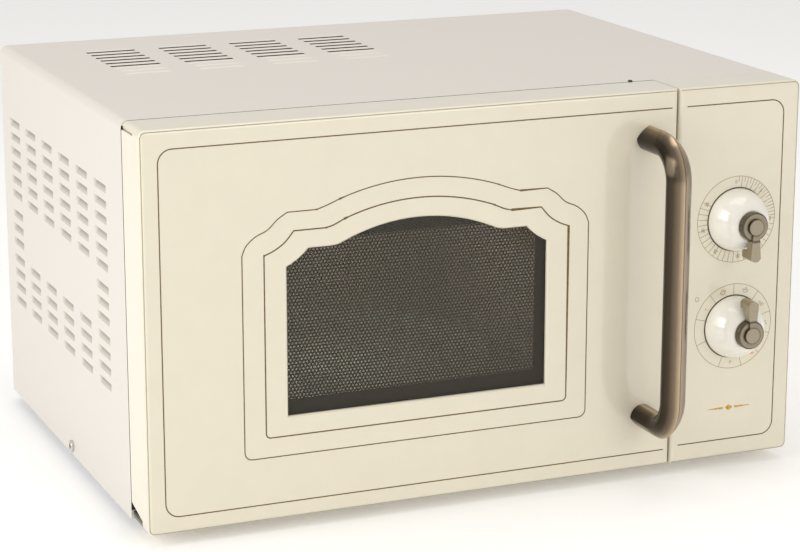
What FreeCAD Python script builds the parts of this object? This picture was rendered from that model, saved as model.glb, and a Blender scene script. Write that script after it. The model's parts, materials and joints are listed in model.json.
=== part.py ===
"""A countertop microwave oven with a side-hinged door, two rotary dials and a glass turntable.

Frame: millimetres, +Z up, X to the right seen from the front, the front facing -Y.
The origin is on the worktop, under the middle of the whole oven, handle included.
Each piece is one document object, named after what it is, and is written to parts/NAME.step.
"""
import FreeCAD, Part
import math
import os
import re

import Sketcher

os.makedirs("parts", exist_ok=True)
doc = FreeCAD.newDocument("microwave_oven")

# ---------------------------------------------------------------- driving dimensions
# One line for each size that can be set by itself: name, value in mm, what it measures.
DIMENSIONS = [
    ("body_width", 452, "width of the case"),
    ("body_height", 254, "height of the case without its feet"),
    ("body_depth", 299, "depth of the steel case behind the door and panel"),
    ("front_depth", 36, "depth of the door and of the control panel"),
    ("foot_height", 8, "height of the feet"),
    ("sheet", 0.8, "thickness of the steel wrap and of the cavity walls"),
    ("plate", 1, "thickness of the front frame, the rear panel and the base"),
    ("edge_round", 5, "outside radius of the case's long top edges"),
    ("rear_lip", 14, "width of the wrap's turned-in rear flange"),
    ("base_flange", 14, "height of the base's turned-up sides"),
    ("door_width", 361.5, "width of the door"),
    ("seam_gap", 1, "gap between the door and the control panel"),
    ("door_gap", 1.3, "gap between the closed door and the front frame"),
    ("shell_wall", 2.5, "wall of the door and panel mouldings"),
    ("shell_round", 4.5, "radius of the mouldings' outer corners"),
    ("face_round", 3, "radius of the mouldings' front edges"),
    ("window_centre", 180.75, "middle of the window from the door's hinge edge"),
    ("window_width", 177, "width of the window opening"),
    ("window_sill", 66.7, "bottom of the window above the bottom of the door"),
    ("window_shoulder", 162.5, "height where the window's straight sides end"),
    ("window_step", 173.2, "height of the short level part beside the arch"),
    ("window_peak", 186.2, "height of the middle of the window's arch"),
    ("shoulder_run", 14.5, "how far the window's shoulder leans inwards"),
    ("step_run", 15, "length of the short level part beside the arch"),
    ("shoulder_radius", 46, "radius of the hollow shoulder curve"),
    ("arch_half", 50.75, "half the span of the arch's main curve"),
    ("arch_rise", 11, "rise of the arch's main curve"),
    ("ease_radius", 19.5, "radius of the small curve that leads into the arch"),
    ("pane_lap", 9, "how far the window pane reaches past its opening"),
    ("pane_thick", 3, "thickness of the window pane"),
    ("inner_pane_thick", 2, "thickness of the clear pane behind the screen"),
    ("window_bevel", 0.8, "bevel round the window opening"),
    ("cover_lap", 1, "how far the choke cover reaches over the inner pane's seat"),
    ("cavity_inset", 27, "left end of the case to the cooking cavity"),
    ("cavity_width", 306, "inside width of the cooking cavity"),
    ("cavity_height", 198, "inside height of the cooking cavity"),
    ("cavity_depth", 284, "inside depth of the cooking cavity"),
    ("cavity_lift", 25, "bottom of the case to the cavity floor"),
    ("seal_lap", 2, "how far the door's sealing flange reaches inside the cavity's edge"),
    ("seal_width", 8, "width of the door's sealing flange"),
    ("choke_width", 12, "width of the door's choke channel"),
    ("choke_depth", 22, "depth of the door's choke channel"),
    ("screen_depth", 18, "door face to the perforated screen"),
    ("screen_thick", 0.6, "thickness of the perforated screen"),
    ("screen_border", 21, "plain border of the screen inside the sealing flange"),
    ("hinge_inset", 6, "left end of the case to the hinge axis"),
    ("hinge_reach", 18, "front of the case to the hinge axis"),
    ("hinge_pin", 2, "radius of a hinge pin"),
    ("hinge_thick", 2, "thickness of the lower hinge arm"),
    ("hinge_thin", 1.4, "thickness of the upper hinge arm"),
    ("hinge_half", 4.5, "half the width of a hinge arm"),
    ("hinge_block", 6, "height of a hinge block in the door"),
    ("hinge_lift", 1, "lower wall of the door to the lower hinge arm"),
    ("hinge_drop", 0.8, "upper wall of the door to the upper hinge arm"),
    ("hinge_foot", 14, "length of a hinge arm's foot on the front frame"),
    ("slit_gap", 1.5, "clearance of the door's slit in front of a hinge arm"),
    ("slit_low", 4, "height of the door's lower hinge slit"),
    ("slit_high", 2.6, "height of the door's upper hinge slit"),
    ("notch_rise", 12, "height of the door's lower hinge slit where it opens at the back"),
    ("running_gap", 0.05, "radial clearance of a pin or spindle in its hole"),
    ("free_gap", 0.5, "clearance between pieces that move past each other"),
    ("handle_centre", 340.5, "middle of the handle from the door's hinge edge"),
    ("handle_bottom", 28, "lower end of the handle above the bottom of the door"),
    ("handle_top", 232, "upper end of the handle above the bottom of the door"),
    ("handle_reach", 50, "how far the handle stands out from the door"),
    ("handle_half", 8.7, "half the width of the handle bar, and the radius of its round inner side"),
    ("handle_ridge", 8, "height of the ridge along the outside of the handle bar"),
    ("handle_flank", 23, "radius of the two bulging sides of the ridge"),
    ("handle_bend", 22, "radius of the handle's bends along the middle of the bar"),
    ("dial_centre", 407, "middle of both dials from the left end of the case"),
    ("timer_height", 164, "timer dial above the bottom of the case"),
    ("power_height", 91, "power dial above the bottom of the case"),
    ("dome_radius", 21, "radius of a dial's dome at the panel"),
    ("dome_height", 20, "height of a dial's dome"),
    ("dome_top", 10.4, "radius of the dome where its cap sits"),
    ("dome_curve", 24.2, "radius of the dome's curve seen from the side"),
    ("cap_radius", 9.6, "radius of a dial's cap"),
    ("cap_height", 5.2, "height of a dial's cap"),
    ("cap_edge", 0.8, "bevel round a dial's cap"),
    ("hub_radius", 5.5, "radius of the raised hub on a cap"),
    ("hub_height", 1.6, "height of the raised hub on a cap"),
    ("pointer_reach", 24.5, "tip of the pointer from the dial's axis"),
    ("pointer_neck", 2.2, "half the width of the pointer at the hub"),
    ("pointer_tip", 3.7, "half the width of the pointer at its tip"),
    ("tip_radius", 4.07, "radius of the curve that ends a dial pointer"),
    ("over_cut", 1, "how far a cutting shape reaches past the surface it opens"),
    ("pointer_depth", 11.6, "depth of the pointer where it hangs over the dome"),
    ("pointer_clear", 16.8, "dial's axis to where the pointer's full depth begins"),
    ("pointer_root", 3.5, "dial's axis to the root of the pointer inside the hub"),
    ("spindle", 3, "radius of a dial's spindle"),
    ("spindle_grip", 14, "length of the spindle inside the dome"),
    ("spindle_sink", 10, "length of the spindle inside its timer or switch"),
    ("unit_depth", 29, "depth of the timer and of the power selector"),
    ("timer_size", 54, "width and height of the timer"),
    ("power_size", 44, "width and height of the power selector"),
    ("latch_thick", 4, "thickness of the latch bar and its hooks"),
    ("latch_gap", 1.5, "gap between the latch bar and the choke channel"),
    ("latch_travel", 4, "how far the latch bar lifts"),
    ("hook_low", 60, "lower hook above the bottom of the door"),
    ("hook_high", 190, "upper hook above the bottom of the door"),
    ("hook_height", 10, "height of a hook"),
    ("hook_reach", 22, "how far a hook reaches behind the front frame's face"),
    ("hook_nose", 4, "bevel of a hook's nose"),
    ("hook_back", 2, "lean of a hook's catching side"),
    ("latch_depth", 8, "depth of the latch bar"),
    ("latch_inset", 6, "rear of the door to the latch bar"),
    ("latch_room", 2.5, "extra width of a latch slot for the door's swing"),
    ("spring_radius", 1.7, "radius of the latch spring's coil"),
    ("spring_wire", 0.4, "radius of the latch spring's wire"),
    ("spring_length", 14, "length of the latch spring"),
    ("spring_gap", 0.3, "clearance at the ends of the latch spring"),
    ("spring_coils", 6, "turns of the latch spring"),
    ("seat_height", 3.7, "height of the latch spring's upper seat"),
    ("plate_radius", 122.5, "radius of the glass turntable plate"),
    ("plate_thick", 5, "thickness of the glass plate"),
    ("plate_rise", 12, "height of the glass plate's rim"),
    ("plate_slope", 16, "width of the glass plate's sloping border"),
    ("plate_lip", 4, "width of the glass plate's rim"),
    ("plate_ring", 4, "width of the locating ring under the glass plate"),
    ("plate_ring_depth", 6, "height of the locating ring under the glass plate"),
    ("roller_radius", 6.7, "radius of a roller"),
    ("roller_width", 6, "width of a roller"),
    ("roller_circle", 95, "rollers from the turntable's axis"),
    ("ring_inner", 85, "inside radius of the roller ring"),
    ("ring_outer", 90.5, "outside radius of the roller ring"),
    ("ring_thick", 4, "height of the roller ring"),
    ("axle", 2, "radius of a roller's axle"),
    ("roller_gap", 0.3, "gap above and below a roller"),
    ("drive_shaft", 3.5, "radius of the turntable's drive shaft"),
    ("drive_head", 13, "radius of the drive coupler's head"),
    ("motor_radius", 25, "radius of the turntable motor"),
    ("motor_height", 16, "height of the turntable motor"),
    ("drive_sink", 8, "length of the drive shaft inside the motor"),
    ("drive_lift", 2, "clearance under and over the drive coupler's head"),
    ("notch_depth", 4, "depth of the coupler's notches"),
    ("notch_half", 3, "half the width of the coupler's notches"),
    ("vent_length", 35, "length of a slot in the top of the case"),
    ("vent_width", 5, "width of a slot in the top of the case"),
    ("vent_start", 183.5, "front of the case to the first row of top slots"),
    ("vent_pitch", 11.8, "distance between rows of top slots"),
    ("vent_rows", 6, "rows of top slots"),
    ("vent_first", 48, "left end of the case to the first column of top slots"),
    ("vent_step", 52.3, "distance between columns of top slots"),
    ("louvre_length", 26, "length of a slot in the side of the case"),
    ("louvre_width", 5, "width of a slot in the side of the case"),
    ("louvre_first", 22, "rear of the case to the first column of side slots"),
    ("louvre_step", 42.8, "distance between columns of side slots"),
    ("louvre_pitch", 10.2, "distance between rows of side slots"),
    ("louvre_high", 150.5, "lowest row of the upper group of side slots"),
    ("louvre_high_rows", 6, "rows in the upper group"),
    ("louvre_middle", 115.5, "lowest row of the middle group of side slots"),
    ("louvre_middle_rows", 3, "rows in the middle group"),
    ("louvre_low", 72.5, "lowest row of the lower group of side slots"),
    ("louvre_low_rows", 4, "rows in the lower group"),
    ("air_width", 4, "width of an air slot in the rear panel and the base"),
    ("air_pitch", 9, "distance between rows of air slots"),
    ("intake_length", 25, "length of a slot behind the fan"),
    ("intake_step", 31, "distance between columns of slots behind the fan"),
    ("intake_rows", 10, "rows of slots behind the fan"),
    ("exhaust_length", 30, "length of an exhaust slot"),
    ("exhaust_step", 40, "distance between columns of exhaust slots"),
    ("exhaust_rows", 6, "rows of exhaust slots"),
    ("exhaust_left", 60, "left end of the case to the exhaust slots"),
    ("exhaust_low", 150, "bottom of the case to the exhaust slots"),
    ("base_air_half", 30, "half the length of an air slot in the base"),
    ("base_air_front", 70, "front of the case to the air slots in the base"),
    ("base_air_rows", 5, "rows of air slots in the base"),
    ("screw_shank", 2, "radius of a screw's shank"),
    ("screw_head", 4, "radius of a screw's head"),
    ("screw_head_height", 2, "height of a screw's head"),
    ("screw_head_round", 0.9, "rounding of a screw head's brim"),
    ("screw_length", 9, "length of a screw's shank"),
    ("screw_slack", 0.1, "radial clearance of a screw in its hole"),
    ("side_screw_back", 137, "front of the case to the side screws"),
    ("side_screw_height", 6, "side screws above the bottom of the case"),
    ("rear_screw_low", 20, "lowest rear screws above the bottom of the case"),
    ("foot_radius", 10, "radius of a foot"),
    ("foot_inset", 32, "middle of a foot from the edges of the case"),
    ("foot_pad", 3, "thickness of a foot under its screw's head"),
    ("foot_clear", 1, "clearance round a foot's screw head"),
    ("gland_hole", 5, "radius of the hole in the cord bushing"),
    ("gland_collar", 8, "radius of the cord bushing in the rear panel"),
    ("gland_flange", 11, "radius of the cord bushing's flange"),
    ("gland_reach", 6, "how far the cord bushing stands out at the back"),
    ("gland_inner", 4, "length of the cord bushing's inner flange"),
    ("gland_inset", 40, "cord bushing from the right end of the case"),
    ("gland_height", 36, "cord bushing above the bottom of the case"),
    ("guide_depth", 34, "depth of the waveguide beside the cavity"),
    ("guide_length", 130, "length of the waveguide from front to back"),
    ("guide_height", 80, "height of the waveguide"),
    ("guide_back", 60, "rear of the cavity to the rear of the waveguide"),
    ("guide_low", 82, "waveguide above the cavity floor"),
    ("tube_size", 72, "height and length of the magnetron's frame"),
    ("tube_reach", 76, "length of the magnetron's frame from the waveguide outwards"),
    ("tube_wall", 2, "wall of the magnetron's frame"),
    ("antenna_radius", 8, "radius of the magnetron's antenna"),
    ("antenna_reach", 26, "how far the antenna stands into the waveguide"),
    ("anode_radius", 20, "radius of the magnetron's anode"),
    ("fin_start", 8, "frame to the first cooling fin"),
    ("fin_thick", 1, "thickness of a cooling fin"),
    ("fin_pitch", 5.5, "distance between cooling fins"),
    ("fin_count", 11, "number of cooling fins"),
    ("fin_clear", 3, "front and rear edges of the fins inside the frame's ends"),
    ("filter_start", 12, "waveguide to the magnetron's filter box"),
    ("filter_end", 8, "filter box to the end of the magnetron's frame"),
    ("filter_half", 22, "half the width of the filter box"),
    ("filter_height", 22, "height of the filter box"),
    ("port_inset", 15, "edges of the waveguide to its port in the cavity"),
    ("port_length", 50, "length of the waveguide's port"),
    ("mica_thick", 0.6, "thickness of the mica cover over the port"),
    ("mica_inset", 8, "edges of the waveguide to the mica cover"),
    ("mica_length", 64, "length of the mica cover"),
    ("grid_hole", 1.6, "radius of a hole in the cavity's lamp and steam grids"),
    ("grid_pitch", 6, "distance between holes in the grids"),
    ("grid_rows", 4, "rows of holes in a grid"),
    ("grid_inset", 40, "ends of the cavity to a grid"),
    ("lamp_drop", 50, "top of the cavity to the lamp's grid"),
    ("lamp_sheet", 2, "thickness of the lamp holder's plate"),
    ("lamp_plate_front", 30, "front of the cavity to the lamp holder's plate"),
    ("lamp_plate_length", 50, "length of the lamp holder's plate"),
    ("lamp_plate_low", 60, "top of the cavity to the bottom of the lamp holder's plate"),
    ("lamp_plate_high", 5, "top of the cavity to the top of the lamp holder's plate"),
    ("lamp_window", 30, "height of the lamp holder's window"),
    ("lamp_border", 5, "border of the lamp holder's plate round its window"),
    ("lamp_offset", 16, "cavity's wall to the lamp's axis"),
    ("lamp_back", 55, "front of the cavity to the lamp's axis"),
    ("socket_radius", 11, "radius of the lamp's socket"),
    ("socket_low", 22, "top of the cavity to the bottom of the lamp's socket"),
    ("socket_high", 10, "top of the cavity to the top of the lamp's socket"),
    ("socket_arm", 5, "half the width of the lamp socket's arm"),
    ("socket_arm_thick", 4, "thickness of the lamp socket's arm"),
    ("bulb_base", 7, "radius of the bulb's base"),
    ("bulb_neck", 8, "length of the bulb's base"),
    ("bulb_curve", 60, "radius of the curve from the bulb's base to its neck"),
    ("bulb_radius", 11, "radius of the bulb"),
    ("bulb_middle", 22, "socket to the bulb's widest part"),
    ("bulb_length", 33, "length of the bulb"),
    ("cutout_radius", 8, "radius of the thermal cut-out"),
    ("cutout_height", 8, "height of the thermal cut-out"),
    ("cutout_offset", 60, "turntable's axis to the thermal cut-out"),
    ("cutout_ear", 12, "half the length of the cut-out's flange"),
    ("cutout_flange", 5, "half the width of the cut-out's flange"),
    ("bracket_gap", 4, "latch bar to the interlock bracket"),
    ("bracket_thick", 2, "thickness of the interlock bracket"),
    ("bracket_depth", 45, "front of the case to the rear of the interlock bracket"),
    ("bracket_low", 15, "interlock bracket below the lower hook"),
    ("bracket_high", 25, "interlock bracket above the upper hook"),
    ("shelf_drop", 9, "lower hook down to the bracket's shelf"),
    ("switch_front", 28, "front of the case to the door switches"),
    ("switch_depth", 16, "depth of a door switch"),
    ("switch_height", 18, "height of a door switch"),
    ("switch_lower", 4, "lower switch below the lower hook"),
    ("switch_upper", 2, "upper switch below the upper hook"),
    ("switch_middle", 34, "middle switch below the upper hook"),
    ("spindle_hole", 1.5, "clearance of a spindle in the control panel"),
    ("fan_radius", 44, "radius of the cooling fan"),
    ("fan_hub", 10, "radius of the fan's hub"),
    ("fan_width", 16, "length of the fan's hub and blades"),
    ("fan_setback", 40, "rear panel to the fan"),
    ("fan_clear", 3, "fan shroud to the fan"),
    ("fan_shaft", 14, "length of the fan's shaft behind its hub"),
    ("blade_half", 1, "half the thickness of a fan blade"),
    ("blade_count", 5, "number of fan blades"),
    ("blade_trim", 8, "tip of a blade inside the fan's radius"),
    ("shroud_thick", 2, "thickness of the fan shroud"),
    ("shroud_rim", 8, "height of the shroud above and below the fan"),
    ("shroud_lap", 5, "how far the shroud's hole is smaller than the fan"),
    ("shroud_inset", 10, "how far the shroud reaches under the magnetron"),
    ("post_left", 40, "fan's axis to the left posts' outer face"),
    ("post_right", 26, "fan's axis to the right posts' inner face"),
    ("post_width", 10, "width of a post of the fan shroud"),
    ("post_height", 6, "height of a post of the fan shroud"),
    ("fan_motor_gap", 22, "fan shroud's front to the fan's motor"),
    ("fan_motor_half", 20, "half the width of the fan's motor"),
    ("fan_motor_high", 18, "half the height of the fan's motor"),
    ("fan_motor_rear", 4, "wall at the rear of the fan's motor"),
    ("core_width", 84, "width of the transformer's core"),
    ("core_height", 66, "height of the transformer's core"),
    ("core_depth", 52, "depth of the transformer's core"),
    ("core_bar", 14, "width of the core's outer bars"),
    ("core_setback", 42, "rear panel to the transformer's core"),
    ("core_shift", 4, "fan's axis to the middle of the transformer"),
    ("winding_gap", 0.5, "insulation between a winding and the core"),
    ("winding_reach", 12, "how far a winding stands out of the core"),
    ("winding_round", 6, "corner radius of a winding"),
    ("can_half", 28, "half the width of the capacitor"),
    ("can_radius", 17, "radius of the capacitor's rounded ends"),
    ("can_height", 62, "height of the capacitor"),
    ("can_front", 130, "front of the case to the middle of the capacitor"),
    ("strap_low", 20, "base to the bottom of the capacitor's strap"),
    ("strap_high", 34, "base to the top of the capacitor's strap"),
    ("strap_foot", 12, "length of the strap's foot"),
]

dims = doc.addObject("Spreadsheet::Sheet", "dims")
for row, (name, value, meaning) in enumerate(DIMENSIONS, start=1):
    dims.set("A%d" % row, name)
    dims.set("B%d" % row, str(value))
    dims.set("C%d" % row, meaning)
    dims.setAlias("B%d" % row, name)
doc.recompute()

# ---------------------------------------------------------------- places worked out from them
# Faces and axes that several pieces share, each bound to the sheet: name and formula.
PLACES = [
    ("left", "-body_width / 2"),
    ("right", "body_width / 2"),
    ("bottom", "foot_height"),
    ("top", "foot_height + body_height"),
    ("front", "(front_depth + handle_reach - body_depth - gland_reach) / 2"),
    ("back", "front + body_depth"),
    ("face", "front - front_depth"),
    ("door_back", "front - door_gap"),
    ("door_right", "left + door_width"),
    ("panel_left", "door_right + seam_gap"),
    ("inner_left", "left + sheet"),
    ("inner_right", "right - sheet"),
    ("inner_top", "top - sheet"),
    ("inner_back", "back - sheet - plate"),
    ("floor_top", "bottom + plate"),
    ("cavity_left", "left + cavity_inset"),
    ("cavity_right", "cavity_left + cavity_width"),
    ("cavity_floor", "bottom + cavity_lift"),
    ("cavity_top", "cavity_floor + cavity_height"),
    ("cavity_front", "front + plate"),
    ("cavity_back", "cavity_front + cavity_depth"),
    ("hinge_x", "left + hinge_inset"),
    ("hinge_y", "front - hinge_reach"),
    ("window_x", "left + window_centre"),
    ("inner_face", "face + shell_wall"),
    ("seal_inner_left", "cavity_left + seal_lap"),
    ("seal_inner_right", "cavity_right - seal_lap"),
    ("seal_inner_low", "cavity_floor + seal_lap"),
    ("seal_inner_high", "cavity_top - seal_lap"),
    ("choke_face", "door_back - plate - choke_depth"),
    ("screen_y", "face + screen_depth"),
    ("latch_left", "seal_inner_right + seal_width + choke_width + latch_gap"),
    ("handle_x", "left + handle_centre"),
    ("dial_x", "left + dial_centre"),
    ("timer_z", "bottom + timer_height"),
    ("power_z", "bottom + power_height"),
    ("spin_x", "cavity_left + cavity_width / 2"),
    ("spin_y", "cavity_front + cavity_depth / 2"),
    ("roller_z", "cavity_floor + roller_radius + roller_gap"),
    ("plate_z", "roller_z + roller_radius + roller_gap"),
    ("wall_right", "cavity_right + sheet"),
    ("guide_right", "wall_right + guide_depth"),
    ("guide_rear", "cavity_back - guide_back"),
    ("guide_front", "guide_rear - guide_length"),
    ("guide_floor", "cavity_floor + guide_low"),
    ("tube_y", "guide_rear - guide_height / 2"),
    ("tube_z", "guide_floor + guide_height / 2"),
    ("fan_x", "guide_right + tube_reach / 2"),
    ("fan_y", "inner_back - fan_setback"),
    ("gland_x", "right - gland_inset"),
    ("gland_z", "bottom + gland_height"),
]

places = doc.addObject("App::FeaturePython", "places")
probe = doc.addObject("App::FeaturePython", "probe")
probe.addProperty("App::PropertyFloat", "value")
dimension_names = {name for name, value, meaning in DIMENSIONS}
place_names = set()


def live(formula):
    """The formula with each size and place written as a reference to where it is kept."""
    def refer(match):
        word = match.group(0)
        if word in dimension_names:
            return "dims." + word
        if word in place_names:
            return "places." + word
        return word
    return re.sub(r"[a-z][a-z_]*", refer, str(formula))


def number(formula):
    """The formula's value now, for the first position of a sketch's lines."""
    probe.setExpression("value", live(formula))
    probe.recompute()
    return probe.value


for name, formula in PLACES:
    places.addProperty("App::PropertyFloat", name)
    places.setExpression(name, live(formula).replace("places.", ""))
    places.recompute()
    place_names.add(name)
doc.recompute()

# ---------------------------------------------------------------- how outlines are drawn
# Sketch planes: the role of the origin plane, and which way its normal points along its axis.
PLANES = {"XY": ("XY_Plane", 1), "XZ": ("XZ_Plane", -1), "YZ": ("YZ_Plane", 1)}


def rectangle(low_a, low_b, high_a, high_b):
    """A rectangle between two corners, given along the sketch's own two axes."""
    return [(low_a, low_b), (high_a, low_b), (high_a, high_b), (low_a, high_b)]


def disc(centre_a, centre_b, radius):
    """A circle."""
    return ("circle", centre_a, centre_b, radius)


def add_circle(sketch, circle):
    """Draw a circle whose centre and radius follow the sheet."""
    word, centre_a, centre_b, radius = circle
    centre = FreeCAD.Vector(number(centre_a), number(centre_b), 0)
    edge = sketch.addGeometry(Part.Circle(centre, FreeCAD.Vector(0, 0, 1), number(radius)), False)
    bindings = [("DistanceX", (-1, 1, edge, 3), centre_a), ("DistanceY", (-1, 1, edge, 3), centre_b),
                ("Radius", (edge,), radius)]
    for kind, where, formula in bindings:
        index = sketch.addConstraint(Sketcher.Constraint(kind, *where, number(formula)))
        sketch.setExpression("Constraints[%d]" % index, live(formula))


def add_outline(sketch, points, closed=True):
    """Draw an outline. A point (a, b, radius, turn) starts an arc that turns left or right."""
    corners = [FreeCAD.Vector(number(point[0]), number(point[1]), 0) for point in points]
    first_edge = sketch.GeometryCount
    ends = []
    spans = len(points) if closed else len(points) - 1
    for index, point in enumerate(points[:spans]):
        start = corners[index]
        end = corners[(index + 1) % len(points)]
        if len(point) == 2:
            sketch.addGeometry(Part.LineSegment(start, end), False)
            ends.append((1, 2))
            continue
        radius = number(point[2])
        side = 1 if point[3] == "left" else -1
        chord = end - start
        height = math.sqrt(max(radius ** 2 - chord.Length ** 2 / 4, 0))
        across = FreeCAD.Vector(-chord.y, chord.x, 0).normalize()
        centre = (start + end) / 2 + across * (height * side)
        start_angle = math.atan2(start.y - centre.y, start.x - centre.x)
        end_angle = math.atan2(end.y - centre.y, end.x - centre.x)
        circle = Part.Circle(centre, FreeCAD.Vector(0, 0, 1), radius)
        if side > 0:
            sketch.addGeometry(Part.ArcOfCircle(circle, start_angle, end_angle), False)
            ends.append((1, 2))
        else:
            sketch.addGeometry(Part.ArcOfCircle(circle, end_angle, start_angle), False)
            ends.append((2, 1))
    for index, point in enumerate(points):
        here, corner = first_edge + index, 0
        if index == spans:
            here, corner = here - 1, 1
        elif closed or index < spans - 1:
            following = (index + 1) % len(points)
            sketch.addConstraint(Sketcher.Constraint("Coincident", here, ends[index][1],
                                                     first_edge + following, ends[following][0]))
        vertex = ends[min(index, spans - 1)][corner]
        bindings = [("DistanceX", (-1, 1, here, vertex), point[0]), ("DistanceY", (-1, 1, here, vertex), point[1])]
        if len(point) == 4:
            bindings.append(("Radius", (here,), point[2]))
        for kind, where, formula in bindings:
            constraint = sketch.addConstraint(Sketcher.Constraint(kind, *where, number(formula)))
            sketch.setExpression("Constraints[%d]" % constraint, live(formula))


class Piece:
    """One separate piece of the oven, built as a PartDesign body from sketches."""

    def __init__(self, name):
        self.body = doc.addObject("PartDesign::Body", name)
        self.body.Label = name

    def origin_feature(self, role):
        return [item for item in self.body.Origin.OriginFeatures if item.Role == role][0]

    def draw(self, plane, level, outlines, closed=True):
        """A sketch of outlines, parallel to an origin plane, at a level along its axis."""
        role, direction = PLANES[plane]
        sketch = self.body.newObject("Sketcher::SketchObject", self.body.Name + "_sketch")
        sketch.AttachmentSupport = [(self.origin_feature(role), "")]
        sketch.MapMode = "FlatFace"
        offset = level if direction > 0 else "-(%s)" % level
        sketch.setExpression("AttachmentOffset.Base.z", live(offset))
        for outline in outlines:
            if outline[0] == "circle":
                add_circle(sketch, outline)
            else:
                add_outline(sketch, outline, closed)
        return sketch

    def pad(self, plane, start, end, *outlines):
        """Add material between two levels along the plane's axis."""
        level = start if PLANES[plane][1] > 0 else end
        feature = self.body.newObject("PartDesign::Pad", self.body.Name + "_pad")
        feature.Profile = self.draw(plane, level, outlines)
        feature.setExpression("Length", live("(%s) - (%s)" % (end, start)))
        doc.recompute()
        return feature

    def cut(self, plane, start, end, *outlines):
        """Take material away between two levels along the plane's axis."""
        level = end if PLANES[plane][1] > 0 else start
        feature = self.body.newObject("PartDesign::Pocket", self.body.Name + "_cut")
        feature.Profile = self.draw(plane, level, outlines)
        feature.setExpression("Length", live("(%s) - (%s)" % (end, start)))
        doc.recompute()
        return feature

    def turn(self, outline):
        """Add a solid turned about the body's Z axis from an outline of (radius, height) points."""
        feature = self.body.newObject("PartDesign::Revolution", self.body.Name + "_turned")
        sketch = self.draw("XZ", "0", [outline])
        feature.Profile = sketch
        feature.ReferenceAxis = (sketch, ["V_Axis"])
        feature.Angle = 360
        doc.recompute()
        return feature

    def sweep(self, path, path_level, section_level, section):
        """Add material along an open path on the YZ plane, from a section on the XZ plane."""
        feature = self.body.newObject("PartDesign::AdditivePipe", self.body.Name + "_bar")
        spine = self.draw("YZ", path_level, [path], closed=False)
        feature.Profile = self.draw("XZ", section_level, [section])
        feature.Spine = (spine, ["Edge%d" % (index + 1) for index in range(len(path) - 1)])
        doc.recompute()
        return feature

    def repeat(self, feature, axis, step, count):
        """Repeat a feature in a row along an origin axis."""
        row = self.body.newObject("PartDesign::LinearPattern", self.body.Name + "_row")
        row.Originals = [feature]
        row.Direction = (self.origin_feature(axis), [""])
        row.setExpression("Length", live("(%s) * (%s - 1)" % (step, count)))
        row.setExpression("Occurrences", live(count))
        self.body.Tip = row
        doc.recompute()
        return row

    def around(self, feature, count):
        """Repeat a feature around the body's Z axis."""
        ring = self.body.newObject("PartDesign::PolarPattern", self.body.Name + "_ring")
        ring.Originals = [feature]
        ring.Axis = (self.origin_feature("Z_Axis"), [""])
        ring.Angle = 360
        ring.Occurrences = count
        self.body.Tip = ring
        doc.recompute()
        return ring

    def edges(self, chosen):
        """Names of the edges for which chosen(edge) is true."""
        shape = self.body.Tip.Shape
        return ["Edge%d" % (index + 1) for index, edge in enumerate(shape.Edges) if chosen(edge)]

    def dress(self, kind, size, chosen):
        """Round (Fillet) or bevel (Chamfer) the chosen edges."""
        base = self.body.Tip
        names = self.edges(chosen)
        feature = self.body.newObject("PartDesign::" + kind, self.body.Name + "_" + kind.lower())
        feature.Base = (base, names)
        feature.setExpression("Radius" if kind == "Fillet" else "Size", live(size))
        doc.recompute()
        return feature

    def move(self, offset_x, offset_y, offset_z, rotation=None):
        """Stand the piece at a place that follows the sheet."""
        if rotation is not None:
            self.body.Placement = FreeCAD.Placement(FreeCAD.Vector(), rotation)
        for axis, formula in zip("xyz", (offset_x, offset_y, offset_z)):
            self.body.setExpression("Placement.Base." + axis, live(formula))
        doc.recompute()


def block(name, low_x, high_x, low_y, high_y, low_z, high_z):
    """A plain rectangular piece between two opposite corners."""
    box = doc.addObject("Part::Box", name)
    box.Label = name
    spans = [("Length", "x", low_x, high_x), ("Width", "y", low_y, high_y), ("Height", "z", low_z, high_z)]
    for side, axis, low, high in spans:
        box.setExpression(side, live("(%s) - (%s)" % (high, low)))
        box.setExpression("Placement.Base." + axis, live(low))
    return box


def is_line_along(axis):
    """A test for straight edges parallel to X, Y or Z."""
    def test(edge):
        if edge.Curve.TypeId != "Part::GeomLine":
            return False
        return abs(getattr(edge.tangentAt(edge.FirstParameter), axis)) > 0.999
    return test


def at(axis, level, edge):
    """Whether the whole edge lies at one level along an axis."""
    box = edge.BoundBox
    low = getattr(box, axis + "Min")
    high = getattr(box, axis + "Max")
    return abs(low - level) < 0.01 and abs(high - level) < 0.01


# Local Z of a dial points out of the panel and local Y points up.
FACING_FRONT = FreeCAD.Rotation(FreeCAD.Vector(1, 0, 0), 90)
# Local Z of something that stands on the right-hand side points to +X.
FACING_RIGHT = FreeCAD.Rotation(FreeCAD.Vector(0, 1, 0), 90)


# ---------------------------------------------------------------- the case
def wrap_profile(inset):
    """The inverted U of the wrap, open below, with its inside face at the given inset."""
    corner = "edge_round - sheet"
    return [
        ("left", "bottom"), ("left", "top - edge_round", "edge_round", "right"),
        ("left + edge_round", "top"), ("right - edge_round", "top", "edge_round", "right"),
        ("right", "top - edge_round"), ("right", "bottom"), ("right - (%s)" % inset, "bottom"),
        ("right - (%s)" % inset, "top - (%s) - (%s)" % (inset, corner), corner, "left"),
        ("right - (%s) - (%s)" % (inset, corner), "top - (%s)" % inset),
        ("left + (%s) + (%s)" % (inset, corner), "top - (%s)" % inset, corner, "left"),
        ("left + (%s)" % inset, "top - (%s) - (%s)" % (inset, corner)), ("left + (%s)" % inset, "bottom"),
    ]


def plate_profile():
    """The closed outline of a plate that fits inside the wrap."""
    corner = "edge_round - sheet"
    return [
        ("inner_left", "bottom"), ("inner_right", "bottom"),
        ("inner_right", "top - edge_round", corner, "left"), ("right - edge_round", "inner_top"),
        ("left + edge_round", "inner_top", corner, "left"), ("inner_left", "top - edge_round"),
    ]


def slot(start_a, start_b, length, width):
    """A slot with its long side along the first axis."""
    return rectangle(start_a, start_b, "%s + %s" % (start_a, length), "%s + %s" % (start_b, width))


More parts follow.
